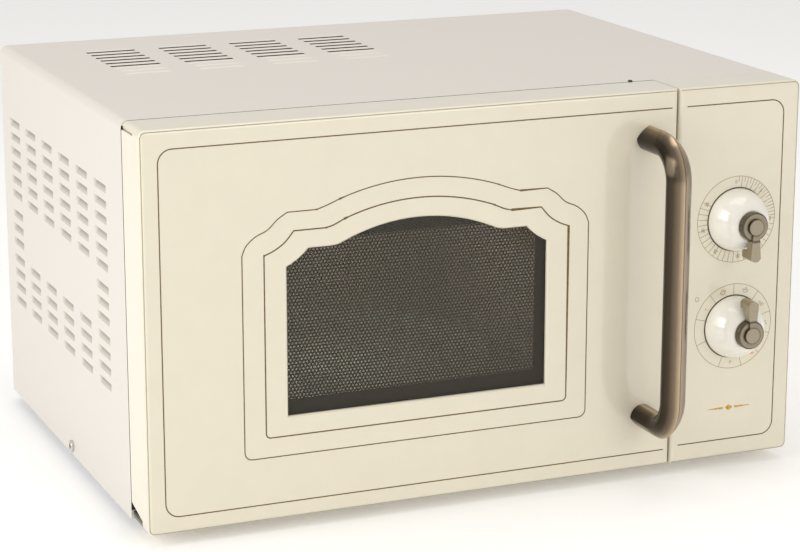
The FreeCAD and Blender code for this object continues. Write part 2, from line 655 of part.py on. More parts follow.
REAR_SCREWS = [
    ("left + rear_lip / 2", "bottom + rear_screw_low"), ("left + rear_lip / 2", "bottom + body_height / 2"),
    ("right - rear_lip / 2", "bottom + rear_screw_low"), ("right - rear_lip / 2", "bottom + body_height / 2"),
    ("left + body_width / 4", "top - rear_lip / 2"), ("right - body_width / 4", "top - rear_lip / 2"),
]
SIDE_SCREW = ("front + side_screw_back", "bottom + side_screw_height")


def screw_holes(spots):
    return [disc(spot_a, spot_b, "screw_shank + screw_slack") for spot_a, spot_b in spots]


def make_outer_case():
    """The painted steel wrap: top, two sides with louvre slots, and a turned-in rear flange."""
    case = Piece("outer_case")
    case.pad("XZ", "front", "back - sheet", wrap_profile("sheet"))
    case.pad("XZ", "back - sheet", "back", wrap_profile("rear_lip"))
    case.cut("XZ", "back - sheet", "back", *screw_holes(REAR_SCREWS))
    case.cut("YZ", "left", "right", *screw_holes([SIDE_SCREW]))
    vents = [slot("left + vent_first + %d * vent_step" % column, "front + vent_start", "vent_length", "vent_width")
             for column in range(4)]
    case.repeat(case.cut("XY", "top - sheet", "top", *vents), "Y_Axis", "vent_pitch", "vent_rows")
    groups = [("louvre_high", "louvre_high_rows", range(6)), ("louvre_middle", "louvre_middle_rows", (0, 5)),
              ("louvre_low", "louvre_low_rows", range(6))]
    for height, rows, columns in groups:
        louvres = [slot("back - louvre_first - louvre_length - %d * louvre_step" % column, "bottom + " + height,
                        "louvre_length", "louvre_width") for column in columns]
        case.repeat(case.cut("YZ", "left", "right", *louvres), "Z_Axis", "louvre_pitch", rows)


def make_front_frame():
    """The steel face plate that carries the cavity's mouth, the hinges and the latch slots."""
    frame = Piece("front_frame")
    frame.pad("XZ", "front", "front + plate", plate_profile())
    frame.cut("XZ", "front", "front + plate",
              rectangle("cavity_left", "cavity_floor", "cavity_right", "cavity_top"))
    slots = [rectangle("latch_left - free_gap", "bottom + %s - free_gap" % height,
                       "latch_left + latch_thick + latch_room + free_gap",
                       "bottom + %s + hook_height + latch_travel + free_gap" % height)
             for height in ("hook_low", "hook_high")]
    frame.cut("XZ", "front", "front + plate", *slots)


def make_rear_panel():
    """The steel back with its exhaust slots and the hole for the cord bushing."""
    panel = Piece("rear_panel")
    panel.pad("XZ", "inner_back", "back - sheet", plate_profile())
    panel.cut("XZ", "inner_back", "back - sheet", disc("gland_x", "gland_z", "gland_collar"))
    panel.cut("XZ", "inner_back", "back - sheet", *screw_holes(REAR_SCREWS))
    intake = [slot("fan_x - fan_radius + %d * intake_step" % column, "tube_z - fan_radius", "intake_length", "air_width")
              for column in range(3)]
    panel.repeat(panel.cut("XZ", "inner_back", "back - sheet", *intake), "Z_Axis", "air_pitch", "intake_rows")
    exhaust = [slot("left + exhaust_left + %d * exhaust_step" % column, "bottom + exhaust_low", "exhaust_length",
                    "air_width") for column in range(3)]
    panel.repeat(panel.cut("XZ", "inner_back", "back - sheet", *exhaust), "Z_Axis", "air_pitch", "exhaust_rows")


FOOT_SPOTS = [(x_side, y_side) for x_side in ("left + foot_inset", "right - foot_inset")
              for y_side in ("front + foot_inset", "back - foot_inset")]


def make_base_plate():
    """The steel base pan with turned-up sides, air slots and holes for the feet."""
    base = Piece("base_plate")
    base.pad("XZ", "front + plate", "inner_back", [
        ("inner_left", "bottom"), ("inner_right", "bottom"), ("inner_right", "bottom + base_flange"),
        ("inner_right - plate", "bottom + base_flange"), ("inner_right - plate", "floor_top"),
        ("inner_left + plate", "floor_top"), ("inner_left + plate", "bottom + base_flange"),
        ("inner_left", "bottom + base_flange")])
    base.cut("YZ", "inner_left", "inner_right", *screw_holes([SIDE_SCREW]))
    base.cut("XY", "bottom", "floor_top", *screw_holes(FOOT_SPOTS))
    air = slot("fan_x - base_air_half", "front + base_air_front", "2 * base_air_half", "air_width")
    base.repeat(base.cut("XY", "bottom", "floor_top", air), "Y_Axis", "air_pitch", "base_air_rows")


def make_feet():
    """Four moulded rubber feet under the base."""
    feet = Piece("feet")
    feet.pad("XY", "0", "bottom", *[disc(x_side, y_side, "foot_radius") for x_side, y_side in FOOT_SPOTS])
    feet.cut("XY", "0", "foot_pad", *[disc(x_side, y_side, "screw_head + foot_clear") for x_side, y_side in FOOT_SPOTS])
    feet.cut("XY", "foot_pad", "bottom", *screw_holes(FOOT_SPOTS))


def screw_solid(point, direction):
    """One pan-head screw: its head's underside is at the point and its shank runs along the direction."""
    radius = dims.screw_shank
    head_radius = dims.screw_head
    head_height = dims.screw_head_height
    length = dims.screw_length
    shank = Part.makeCylinder(radius, length, point, direction)
    head = Part.makeCylinder(head_radius, head_height, point - direction * head_height, direction)
    brim = [edge for edge in head.Edges if edge.Curve.TypeId == "Part::GeomCircle"
            and (edge.CenterOfMass - point).Length > head_height / 2]
    head = head.makeFillet(dims.screw_head_round, brim)
    slot_width = head_radius / 3
    across = Part.makeBox(head_radius, slot_width, head_height, FreeCAD.Vector(-head_radius / 2, -slot_width / 2, 0))
    recess = across.fuse(across.rotated(FreeCAD.Vector(), FreeCAD.Vector(0, 0, 1), 90))
    recess.Placement = FreeCAD.Placement(point - direction * head_height * 1.5,
                                         FreeCAD.Rotation(FreeCAD.Vector(0, 0, 1), direction))
    return shank.fuse(head).cut(recess).removeSplitter()


def make_screws(name, spots, direction):
    """One node of identical screws, each its own solid."""
    feature = doc.addObject("Part::Feature", name)
    feature.Label = name
    points = [FreeCAD.Vector(*[number(value) for value in spot]) for spot in spots]
    feature.Shape = Part.makeCompound([screw_solid(point, FreeCAD.Vector(*direction)) for point in points])
    feature.Placement = FreeCAD.Placement()


def make_cord_bushing():
    """The moulded bushing in the rear panel that a mains cord would come out of."""
    bushing = Piece("cord_bushing")
    bushing.turn([("gland_hole", "-plate - sheet - gland_inner"), ("gland_flange", "-plate - sheet - gland_inner"),
                  ("gland_flange", "-plate - sheet"), ("gland_collar", "-plate - sheet"),
                  ("gland_collar", "-sheet"), ("gland_flange", "-sheet"), ("gland_flange", "gland_reach / 2"),
                  ("gland_collar", "gland_reach"), ("gland_hole", "gland_reach")])
    bushing.move("gland_x", "back", "gland_z", FreeCAD.Rotation(FreeCAD.Vector(1, 0, 0), -90))


# ---------------------------------------------------------------- the cooking cavity
def make_cavity():
    """The welded steel box that food cooks in, open at the front."""
    cavity = Piece("cavity")
    cavity.pad("XZ", "cavity_front", "cavity_back + sheet",
               rectangle("cavity_left - sheet", "cavity_floor - sheet", "wall_right", "cavity_top + sheet"))
    cavity.cut("XZ", "cavity_front", "cavity_back",
               rectangle("cavity_left", "cavity_floor", "cavity_right", "cavity_top"))
    cavity.cut("XY", "cavity_floor - sheet", "cavity_floor", disc("spin_x", "spin_y", "drive_shaft + free_gap"))
    cavity.cut("YZ", "cavity_right", "wall_right",
               rectangle("guide_front + port_inset", "guide_floor + port_inset", "guide_front + port_inset + port_length",
                         "guide_floor + guide_height - port_inset"))
    lamp_holes = [disc("cavity_front + grid_inset + %d * grid_pitch" % column, "cavity_top - lamp_drop", "grid_hole")
                  for column in range(6)]
    cavity.repeat(cavity.cut("YZ", "cavity_right", "wall_right", *lamp_holes), "Z_Axis", "grid_pitch", "grid_rows")
    vent_holes = [disc("cavity_back - grid_inset - %d * grid_pitch" % column, "cavity_top - grid_inset", "grid_hole")
                  for column in range(8)]
    cavity.repeat(cavity.cut("YZ", "cavity_left - sheet", "cavity_left", *vent_holes), "Z_Axis", "grid_pitch",
                  "grid_rows")


def make_waveguide():
    """The duct beside the cavity, open towards it, that the magnetron feeds."""
    guide = Piece("waveguide")
    guide.pad("YZ", "wall_right", "guide_right",
              rectangle("guide_front", "guide_floor", "guide_rear", "guide_floor + guide_height"))
    guide.cut("YZ", "wall_right", "guide_right - sheet",
              rectangle("guide_front + sheet", "guide_floor + sheet", "guide_rear - sheet",
                        "guide_floor + guide_height - sheet"))
    guide.cut("YZ", "guide_right - sheet", "guide_right", disc("tube_y", "tube_z", "antenna_radius + free_gap"))


def make_magnetron():
    """The magnetron: steel frame, cooling fins on the anode, ceramic antenna and filter box."""
    frame = Piece("magnetron_frame")
    low_y = "tube_y - tube_size / 2"
    high_y = "tube_y + tube_size / 2"
    low_z = "tube_z - tube_size / 2"
    high_z = "tube_z + tube_size / 2"
    frame.pad("XZ", low_y, high_y, rectangle("guide_right", low_z, "guide_right + tube_reach", high_z))
    frame.cut("XZ", low_y, high_y, rectangle("guide_right + tube_wall", low_z + " + tube_wall",
                                             "guide_right + tube_reach - tube_wall", high_z + " - tube_wall"))
    frame.cut("YZ", "guide_right", "guide_right + tube_wall", disc("tube_y", "tube_z", "antenna_radius + free_gap"))
    fins = Piece("magnetron_fins")
    fins.pad("YZ", "guide_right + tube_wall", "guide_right + tube_reach - tube_wall",
             disc("tube_y", "tube_z", "anode_radius"))
    fin = fins.pad("YZ", "guide_right + tube_wall + fin_start", "guide_right + tube_wall + fin_start + fin_thick",
                   rectangle(low_y + " + fin_clear", low_z + " + tube_wall", high_y + " - fin_clear",
                             high_z + " - tube_wall"))
    fins.repeat(fin, "X_Axis", "fin_pitch", "fin_count")
    antenna = Piece("magnetron_antenna")
    antenna.pad("YZ", "guide_right + tube_wall - antenna_reach", "guide_right + tube_wall",
                disc("tube_y", "tube_z", "antenna_radius"))
    antenna.dress("Fillet", "antenna_radius / 3",
                  lambda edge: at("X", number("guide_right + tube_wall - antenna_reach"), edge))
    block("magnetron_filter", "guide_right + filter_start", "guide_right + tube_reach - filter_end",
          "tube_y - filter_half", "tube_y + filter_half", high_z, high_z + " + filter_height")


# ---------------------------------------------------------------- power parts on the base
def make_transformer():
    """The high-voltage transformer: laminated core with two windows and a pair of windings."""
    core = Piece("transformer_core")
    middle_x = "(fan_x - core_shift)"
    low_y = "inner_back - core_setback - core_depth"
    high_y = "inner_back - core_setback"
    half = "core_width / 2"
    core.pad("XZ", low_y, high_y,
             rectangle(middle_x + " - " + half, "floor_top", middle_x + " + " + half, "floor_top + core_height"))
    windows = [rectangle("%s - %s + core_bar" % (middle_x, half), "floor_top + core_bar",
                         "%s - core_bar" % middle_x, "floor_top + core_height - core_bar"),
               rectangle("%s + core_bar" % middle_x, "floor_top + core_bar",
                         "%s + %s - core_bar" % (middle_x, half), "floor_top + core_height - core_bar")]
    core.cut("XZ", low_y, high_y, *windows)
    for name, low_z, high_z in (
            ("primary_winding", "floor_top + core_bar + winding_gap", "floor_top + core_height / 2 - winding_gap"),
            ("secondary_winding", "floor_top + core_height / 2 + winding_gap",
             "floor_top + core_height - core_bar - winding_gap")):
        winding = Piece(name)
        outer = "%s - core_bar - winding_gap" % half
        winding.pad("XY", low_z, high_z,
                    rectangle("%s - (%s)" % (middle_x, outer), low_y + " - winding_reach",
                              "%s + (%s)" % (middle_x, outer), high_y + " + winding_reach"))
        winding.cut("XY", low_z, high_z,
                    rectangle("%s - core_bar" % middle_x, low_y, "%s + core_bar" % middle_x, high_y))
        winding.dress("Fillet", "winding_round", lambda edge: is_line_along("z")(edge)
                      and abs(edge.CenterOfMass.y - number("(%s + %s) / 2" % (low_y, high_y))) > number("core_depth / 2 + 1"))


def make_capacitor():
    """The oval high-voltage capacitor and the strap that holds it to the base."""
    low_x = "fan_x - can_half + can_radius"
    high_x = "fan_x + can_half - can_radius"
    middle_y = "front + can_front"
    back_y = middle_y + " + can_radius"
    capacitor = Piece("capacitor")
    capacitor.pad("XY", "floor_top", "floor_top + can_height", [
        (low_x, middle_y + " - can_radius"), (high_x, middle_y + " - can_radius", "can_radius", "left"),
        ("fan_x + can_half", middle_y, "can_radius", "left"), (high_x, back_y),
        (low_x, back_y, "can_radius", "left"), ("fan_x - can_half", middle_y, "can_radius", "left")])
    strap = Piece("capacitor_strap")
    strap.pad("XY", "floor_top + strap_low", "floor_top + strap_high", rectangle(low_x, back_y, high_x, back_y + " + plate"))
    strap.pad("XY", "floor_top", "floor_top + strap_high",
              rectangle(high_x, back_y, high_x + " + strap_foot", back_y + " + plate"))


def make_fan():
    """The cooling fan: a shroud wall, a motor and a five-bladed fan."""
    top_post = ("tube_z + fan_radius + shroud_rim - post_height", "tube_z + fan_radius + shroud_rim")
    low_post = ("tube_z - fan_radius - shroud_rim", "tube_z - fan_radius - shroud_rim + post_height")
    shroud = Piece("fan_shroud")
    shroud.pad("XZ", "fan_y", "fan_y + shroud_thick",
               rectangle("guide_right - shroud_inset", low_post[0], "inner_right - plate", top_post[1]))
    shroud.cut("XZ", "fan_y", "fan_y + shroud_thick", disc("fan_x", "tube_z", "fan_radius - shroud_lap"))
    shroud.pad("XZ", "fan_y + shroud_thick", "inner_back", *[
        rectangle(post_x, low_z, post_x + " + post_width", high_z)
        for post_x in ("fan_x - post_left", "fan_x + post_right") for low_z, high_z in (top_post, low_post)])
    motor = Piece("fan_motor")
    motor.pad("XZ", "fan_y + fan_motor_gap", "inner_back",
              rectangle("fan_x - fan_motor_half", "tube_z - fan_motor_high", "fan_x + fan_motor_half",
                        "tube_z + fan_motor_high"))
    motor.cut("XZ", "fan_y + fan_motor_gap", "inner_back - fan_motor_rear", disc("fan_x", "tube_z", "spindle + running_gap"))
    fan = Piece("fan_blades")
    fan.turn([("0", "0"), ("fan_hub", "0"), ("fan_hub", "fan_width"), ("spindle", "fan_width"),
              ("spindle", "fan_width + fan_shaft"), ("0", "fan_width + fan_shaft")])
    blade = fan.pad("XZ", "-blade_half", "blade_half",
                    rectangle("spindle", "blade_half", "fan_radius - blade_trim", "fan_width - 2 * blade_half"))
    fan.around(blade, int(number("blade_count")))
    fan.move("fan_x", "fan_y + fan_clear", "tube_z", FreeCAD.Rotation(FreeCAD.Vector(1, 0, 0), -90))


# ---------------------------------------------------------------- control compartment
def make_small_electrics():
    """The lamp and its holder, the thermal cut-out, and the door switches on their bracket."""
    plate_back = "cavity_front + lamp_plate_front + lamp_plate_length"
    socket = ("wall_right + lamp_offset", "cavity_front + lamp_back")
    holder = Piece("lamp_holder")
    holder.pad("YZ", "wall_right", "wall_right + lamp_sheet", rectangle(
        "cavity_front + lamp_plate_front", "cavity_top - lamp_plate_low", plate_back, "cavity_top - lamp_plate_high"))
    holder.cut("YZ", "wall_right", "wall_right + lamp_sheet", rectangle(
        "cavity_front + lamp_plate_front + lamp_border", "cavity_top - lamp_plate_low + lamp_border",
        plate_back + " - lamp_border", "cavity_top - lamp_plate_low + lamp_border + lamp_window"))
    holder.pad("XY", "cavity_top - socket_low", "cavity_top - socket_high", disc(*socket, "socket_radius"))
    holder.pad("XY", "cavity_top - socket_high - socket_arm_thick", "cavity_top - socket_high",
               rectangle("wall_right + lamp_sheet / 2", socket[1] + " - socket_arm", socket[0] + " - socket_arm + 1",
                         socket[1] + " + socket_arm"))
    bulb = Piece("lamp_bulb")
    bulb.turn([("0", "0"), ("bulb_base", "0"), ("bulb_base", "bulb_neck", "bulb_curve", "right"),
               ("bulb_radius", "bulb_middle", "bulb_radius", "left"), ("0", "bulb_length")])
    bulb.move(*socket, "cavity_top - socket_low", FreeCAD.Rotation(FreeCAD.Vector(1, 0, 0), 180))
    roof = "cavity_top + sheet"
    cutout_x = "spin_x + cutout_offset"
    cutout = Piece("thermal_cutout")
    cutout.pad("XY", roof, roof + " + cutout_height", disc(cutout_x, "spin_y", "cutout_radius"))
    cutout.pad("XY", roof, roof + " + plate", rectangle(cutout_x + " - cutout_ear", "spin_y - cutout_flange",
                                                        cutout_x + " + cutout_ear", "spin_y + cutout_flange"))
    wall = "latch_left + latch_thick + bracket_gap"
    depth = "front + bracket_depth"
    bracket = Piece("interlock_bracket")
    bracket.pad("YZ", wall, wall + " + bracket_thick",
                rectangle("front + plate", "bottom + hook_low - bracket_low", depth, "bottom + hook_high + bracket_high"))
    bracket.pad("XY", "bottom + hook_low - shelf_drop", "bottom + hook_low - shelf_drop + bracket_thick",
                rectangle("latch_left - bracket_gap", "front + plate", wall, depth))
    lows = ["bottom + " + low for low in ("hook_low - switch_lower", "hook_high - switch_upper", "hook_high - switch_middle")]
    switches = Piece("door_switches")
    switches.pad("XZ", "front + switch_front", "front + switch_front + switch_depth", *[
        rectangle("latch_left - bracket_gap", low, wall, low + " + switch_height") for low in lows])


def make_control_panel():
    """The glossy control panel moulding, hollow behind, with a hole for each dial's spindle."""
    panel = Piece("control_panel")
    panel.pad("XZ", "face", "front", rectangle("panel_left", "bottom", "right", "top"))
    right = number("right")
    panel.dress("Fillet", "shell_round", lambda edge: is_line_along("y")(edge) and at("X", right, edge))
    face = number("face")
    panel.dress("Fillet", "face_round", lambda edge: at("Y", face, edge))
    panel.cut("XZ", "inner_face", "front", rectangle("panel_left + shell_wall", "bottom + shell_wall",
                                                     "right - shell_wall", "top - shell_wall"))
    panel.cut("XZ", "face", "inner_face", disc("dial_x", "timer_z", "spindle + spindle_hole"),
              disc("dial_x", "power_z", "spindle + spindle_hole"))


def pointer_outline(start, half, up):
    """The pointer's tapered outline with a round tip, from a distance and half-width; up is 1 or -1."""
    low = "%d * (%s)" % (up, start)
    high = "%d * (pointer_reach - pointer_tip)" % up
    turn = "left" if up > 0 else "right"
    return [("-" + half, low), (half, low), ("pointer_tip", high, "tip_radius", turn), ("-pointer_tip", high)]


def make_dial(name, height, size, up):
    """A dial: switch box behind the panel, brass spindle, pearl dome and a bronze pointer cap."""
    half = "%s / 2" % size
    unit = Piece(name + ("_unit" if name == "timer" else "_selector"))
    unit.pad("XZ", "inner_face", "inner_face + unit_depth",
             rectangle("dial_x - " + half, height + " - " + half, "dial_x + " + half, height + " + " + half))
    unit.cut("XZ", "inner_face", "inner_face + spindle_sink + over_cut", disc("dial_x", height, "spindle + running_gap"))
    spindle = Piece(name + "_spindle")
    spindle.turn([("0", "-shell_wall - spindle_sink"), ("spindle", "-shell_wall - spindle_sink"),
                  ("spindle", "spindle_grip"), ("0", "spindle_grip")])
    dome = Piece(name + "_dome")
    dome.turn([("spindle", "free_gap"), ("dome_radius", "free_gap", "dome_curve", "left"),
               ("dome_top", "dome_height"), ("0", "dome_height"), ("0", "spindle_grip"), ("spindle", "spindle_grip")])
    cap = Piece(name + "_pointer")
    face = "dome_height + cap_height"
    cap.turn([("0", "dome_height"), ("cap_radius", "dome_height"), ("cap_radius", face + " - cap_edge"),
              ("cap_radius - cap_edge", face), ("0", face)])
    cap.pad("XY", face, face + " + hub_height", disc("0", "0", "hub_radius"))
    cap.pad("XY", "dome_height + free_gap", face + " + hub_height", pointer_outline("pointer_root", "pointer_neck", up))
    cap.pad("XY", face + " + hub_height - pointer_depth", "dome_height + free_gap", pointer_outline(
        "pointer_clear", "(pointer_neck + (pointer_tip - pointer_neck) * (pointer_clear - pointer_root)"
        " / (pointer_reach - pointer_tip - pointer_root))", up))
    for piece in (spindle, dome, cap):
        piece.move("dial_x", "face", height, FACING_FRONT)


# ---------------------------------------------------------------- the door
def window_profile(grow="0"):
    """The arched window: straight sides, hollow shoulders, a short level step and a low arch."""
    half = "(window_width / 2 + (%s))" % grow
    arch_radius = "((arch_half * arch_half + arch_rise * arch_rise) / (2 * arch_rise))"
    step = "(window_width / 2 - shoulder_run)"
    level = "bottom + window_step + (%s)" % grow
    shoulder = "bottom + window_shoulder"
    spring = "bottom + window_peak - arch_rise + (%s)" % grow
    sill = "bottom + window_sill - (%s)" % grow
    return [
        ("window_x - " + half, sill), ("window_x + " + half, sill),
        ("window_x + " + half, shoulder, "shoulder_radius", "right"),
        ("window_x + " + step, level), ("window_x + %s - step_run" % step, level, "ease_radius", "right"),
        ("window_x + arch_half", spring, arch_radius, "left"), ("window_x - arch_half", spring, "ease_radius", "right"),
        ("window_x - %s + step_run" % step, level), ("window_x - " + step, level, "shoulder_radius", "right"),
        ("window_x - " + half, shoulder),
    ]


def hinge_slit(low_z, high_z, back_z):
    """The slit in the door's edge that lets a hinge arm through, which opens towards the back to its own height."""
    return [("hinge_y - hinge_half - slit_gap", low_z), ("door_back", low_z), ("door_back", back_z),
            ("hinge_y - hinge_half - slit_gap", high_z)]


def make_door_shell():
    """The glossy door moulding, hollow behind, with the arched window opening."""
    shell = Piece("door_shell")
    shell.pad("XZ", "face", "door_back", rectangle("left", "bottom", "door_right", "top"))
    left = number("left")
    shell.dress("Fillet", "shell_round", lambda edge: is_line_along("y")(edge) and at("X", left, edge))
    face = number("face")
    shell.dress("Fillet", "face_round", lambda edge: at("Y", face, edge))
    shell.cut("XZ", "inner_face", "door_back", rectangle("left + shell_wall", "bottom + shell_wall",
                                                         "door_right - shell_wall", "top - shell_wall"))
    shell.cut("XZ", "face", "inner_face", window_profile())
    middle = number("window_x")
    reach = number("window_width / 2 + 1")
    shell.dress("Chamfer", "window_bevel", lambda edge: at("Y", face, edge) and abs(edge.CenterOfMass.x - middle) < reach
                and number("bottom + window_sill - 1") < edge.CenterOfMass.z < number("bottom + window_peak + 1"))
    shell.cut("YZ", "left", "left + shell_wall",
              hinge_slit("bottom + shell_wall", "bottom + shell_wall + slit_low", "bottom + notch_rise"),
              hinge_slit("top - shell_wall - slit_high", "top - shell_wall", "top - shell_wall"))
    shell.cut("XZ", "face", "inner_face", *screw_holes(HANDLE_SCREWS))


HANDLE_SCREWS = [("handle_x", "bottom + handle_bottom + handle_ridge"),
                 ("handle_x", "bottom + handle_top - handle_ridge")]


def make_window_pane():
    """The dark glass pane behind the window opening."""
    block("window_pane", "window_x - window_width / 2 - pane_lap", "window_x + window_width / 2 + pane_lap",
          "inner_face", "inner_face + pane_thick", "bottom + window_sill - pane_lap",
          "bottom + window_peak + pane_lap")


def seal_ring(inset):
    """A rectangle that follows the cavity's mouth, the given distance outside the seal's inner edge."""
    return rectangle("seal_inner_left - (%s)" % inset, "seal_inner_low - (%s)" % inset,
                     "seal_inner_right + (%s)" % inset, "seal_inner_high + (%s)" % inset)


def make_door_frame():
    """The door's steel frame: screen seat, sealing flange and the choke channel around it."""
    frame = Piece("door_frame")
    channel = "seal_width + choke_width"
    frame.pad("XZ", "screen_y", "door_back - plate", seal_ring("0"), seal_ring("-sheet"))
    frame.pad("XZ", "door_back - 2 * plate", "door_back - plate", seal_ring("seal_width"), seal_ring("0"))
    frame.pad("XZ", "choke_face", "door_back - 2 * plate", seal_ring("seal_width"), seal_ring("seal_width - sheet"))
    frame.pad("XZ", "choke_face", "choke_face + sheet", seal_ring(channel), seal_ring("seal_width"))
    frame.pad("XZ", "choke_face + sheet", "door_back - plate", seal_ring(channel), seal_ring(channel + " - sheet"))
    frame.pad("XZ", "screen_y", "screen_y + sheet", seal_ring("-sheet"), seal_ring("-screen_border"))


def make_door_screen():
    """The perforated steel screen behind the window."""
    screen = Piece("door_screen")
    screen.pad("XZ", "screen_y - screen_thick", "screen_y", seal_ring("0"))


def make_choke_cover():
    """The moulded ring that closes the choke channel on the cavity side, and the clear inner pane."""
    cover = Piece("choke_cover")
    cover.pad("XZ", "door_back - plate", "door_back",
              seal_ring("seal_width + choke_width"), seal_ring("-sheet - cover_lap"))
    pane = Piece("inner_pane")
    pane.pad("XZ", "screen_y + sheet", "screen_y + sheet + inner_pane_thick", seal_ring("-sheet"))


def make_hinges():
    """Two hinge arms with pins on the front frame, and the blocks in the door that turn on them."""
    arms = Piece("hinge_arms")
    levels = [("bottom + shell_wall + hinge_lift", "bottom + shell_wall + hinge_lift + hinge_thick"),
              ("top - shell_wall - hinge_drop - hinge_thin", "top - shell_wall - hinge_drop")]
    for low, high in levels:
        arms.pad("XY", low, high, [
            ("hinge_x - hinge_half", "front"), ("hinge_x - hinge_half", "hinge_y", "hinge_half", "left"),
            ("hinge_x", "hinge_y - hinge_half", "hinge_half", "left"), ("hinge_x + hinge_half", "hinge_y"),
            ("hinge_x + hinge_half", "front")])
        arms.pad("XZ", "front - plate", "front", rectangle("hinge_x - hinge_half", low, "hinge_x + hinge_foot", high))
    arms.pad("XY", levels[0][1], levels[0][1] + " + hinge_block", disc("hinge_x", "hinge_y", "hinge_pin"))
    arms.pad("XY", levels[1][0] + " - hinge_block", levels[1][0], disc("hinge_x", "hinge_y", "hinge_pin"))
    blocks = Piece("hinge_blocks")
    spans = [(levels[0][1] + " + free_gap", levels[0][1] + " + hinge_block"),
             (levels[1][0] + " - hinge_block", levels[1][0] + " - free_gap")]
    for low, high in spans:
        blocks.pad("XY", low, high, rectangle("left + shell_wall", "hinge_y - hinge_block",
                                              "seal_inner_left - seal_width - choke_width", "hinge_y + hinge_block"))
        blocks.cut("XY", low, high, disc("hinge_x", "hinge_y", "hinge_pin + running_gap"))


def make_handle():
    """The bowed bronze handle: one bar, round inside and ridged outside, bent to stand on the door's face."""
    low = "bottom + handle_bottom + handle_ridge"
    high = "bottom + handle_top - handle_ridge"
    bar = "face - handle_reach + handle_ridge"
    handle = Piece("handle")
    handle.sweep(
        [("face", low), (bar + " + handle_bend", low, "handle_bend", "right"), (bar, low + " + handle_bend"),
         (bar, high + " - handle_bend", "handle_bend", "right"), (bar + " + handle_bend", high), ("face", high)],
        "handle_x", "face",
        [("handle_x - handle_half", low, "handle_flank", "left"), ("handle_x", low + " - handle_ridge", "handle_flank", "left"),
         ("handle_x + handle_half", low, "handle_half", "left"), ("handle_x", low + " + handle_half", "handle_half", "left")])
    screws = [disc(spot_a, spot_b, "screw_shank") for spot_a, spot_b in HANDLE_SCREWS]
    handle.cut("XZ", "face - screw_length + shell_wall", "face", *screws)


def make_latch():
    """The latch bar with two hooks, which lifts against a spring inside the door."""
    bar_front = "door_back - latch_inset - latch_depth"
    bar_back = "door_back - latch_inset"
    nose = "front + hook_reach"
    hooks = []
    for name in ("hook_low", "hook_high"):
        low = "bottom + " + name
        hooks += [(nose + " - hook_nose", low), (nose, low + " + hook_nose"), (nose + " - hook_back", low + " + hook_height"),
                  (bar_back, low + " + hook_height"), (bar_back, low)]
    latch = Piece("latch_bar")
    latch.pad("YZ", "latch_left", "latch_left + latch_thick", [(bar_front, "bottom + hook_low")] + hooks[:4] + hooks[9:]
              + hooks[5:8] + [(bar_front, "bottom + hook_high + hook_height")])
    spring_foot = "bottom + hook_high + hook_height + spring_gap"
    length = dims.spring_length
    wire = dims.spring_wire
    helix = Part.makeHelix((length - 2 * wire) / dims.spring_coils, length - 2 * wire, dims.spring_radius)
    section = Part.Wire(Part.makeCircle(wire, FreeCAD.Vector(dims.spring_radius, 0, 0), FreeCAD.Vector(0, 1, 0)))
    spring = doc.addObject("Part::Feature", "latch_spring")
    spring.Label = "latch_spring"
    spring.Shape = Part.Wire(helix).makePipeShell([section], True, True)
    spring.Placement = FreeCAD.Placement(
        FreeCAD.Vector(number("latch_left + latch_thick / 2"), number("door_back - latch_inset - latch_depth / 2"),
                       number(spring_foot) + wire), FreeCAD.Rotation())
    seat = spring_foot + " + spring_length + spring_gap"
    block("spring_seat", "latch_left - latch_gap", "door_right - shell_wall", bar_front, bar_back, seat, seat + " + seat_height")


# ---------------------------------------------------------------- the turntable
def make_turntable():
    """The turntable: motor, drive coupler, roller ring with three rollers and the glass plate."""
    motor = Piece("turntable_motor")
    motor.pad("XY", "cavity_floor - sheet - motor_height", "cavity_floor - sheet", disc("spin_x", "spin_y", "motor_radius"))
    motor.cut("XY", "cavity_floor - sheet - drive_sink - plate", "cavity_floor - sheet",
              disc("spin_x", "spin_y", "drive_shaft + running_gap"))
    coupler = Piece("drive_coupler")
    head_top = "plate_z - cavity_floor - drive_lift"
    coupler.turn([("0", "-sheet - drive_sink"), ("drive_shaft", "-sheet - drive_sink"), ("drive_shaft", "drive_lift"),
                  ("drive_head", "drive_lift"), ("drive_head", head_top), ("0", head_top)])
    notch = coupler.cut("XY", "drive_lift", head_top,
                        rectangle("drive_head - notch_depth", "-notch_half", "drive_head + over_cut", "notch_half"))
    coupler.around(notch, 3)
    coupler.move("spin_x", "spin_y", "cavity_floor")
    plate = Piece("glass_plate")
    plate.turn([("0", "0"), ("plate_radius - plate_slope", "0"), ("plate_radius", "plate_rise - plate_thick / 2"),
                ("plate_radius - plate_lip / 4", "plate_rise"), ("plate_radius - plate_lip", "plate_rise"),
                ("plate_radius - plate_slope - plate_lip / 2", "plate_thick"), ("0", "plate_thick")])
    plate.pad("XY", "-plate_ring_depth", "0", disc("0", "0", "drive_head + plate_ring"),
              disc("0", "0", "drive_head + free_gap"))
    plate.move("spin_x", "spin_y", "plate_z")
    ring = Piece("roller_ring")
    ring.turn([("ring_inner", "-ring_thick / 2"), ("ring_outer", "-ring_thick / 2"),
               ("ring_outer", "ring_thick / 2"), ("ring_inner", "ring_thick / 2")])
    stub = ring.pad("YZ", "ring_inner + 2", "roller_circle + roller_width / 2 + 1.5", disc("0", "0", "axle"))
    ring.around(stub, 3)
    ring.move("spin_x", "spin_y", "roller_z")
    for index in range(3):
        angle = 120 * index
        roller = Piece("roller_%d" % (index + 1))
        roller.turn([("axle + running_gap", "-roller_width / 2"), ("roller_radius", "-roller_width / 2"),
                     ("roller_radius", "roller_width / 2"), ("axle + running_gap", "roller_width / 2")])
        turn = FreeCAD.Rotation(FreeCAD.Vector(0, 0, 1), angle) * FACING_RIGHT
        roller.move("spin_x + roller_circle * cos(%d deg)" % angle, "spin_y + roller_circle * sin(%d deg)" % angle,
                    "roller_z", turn)


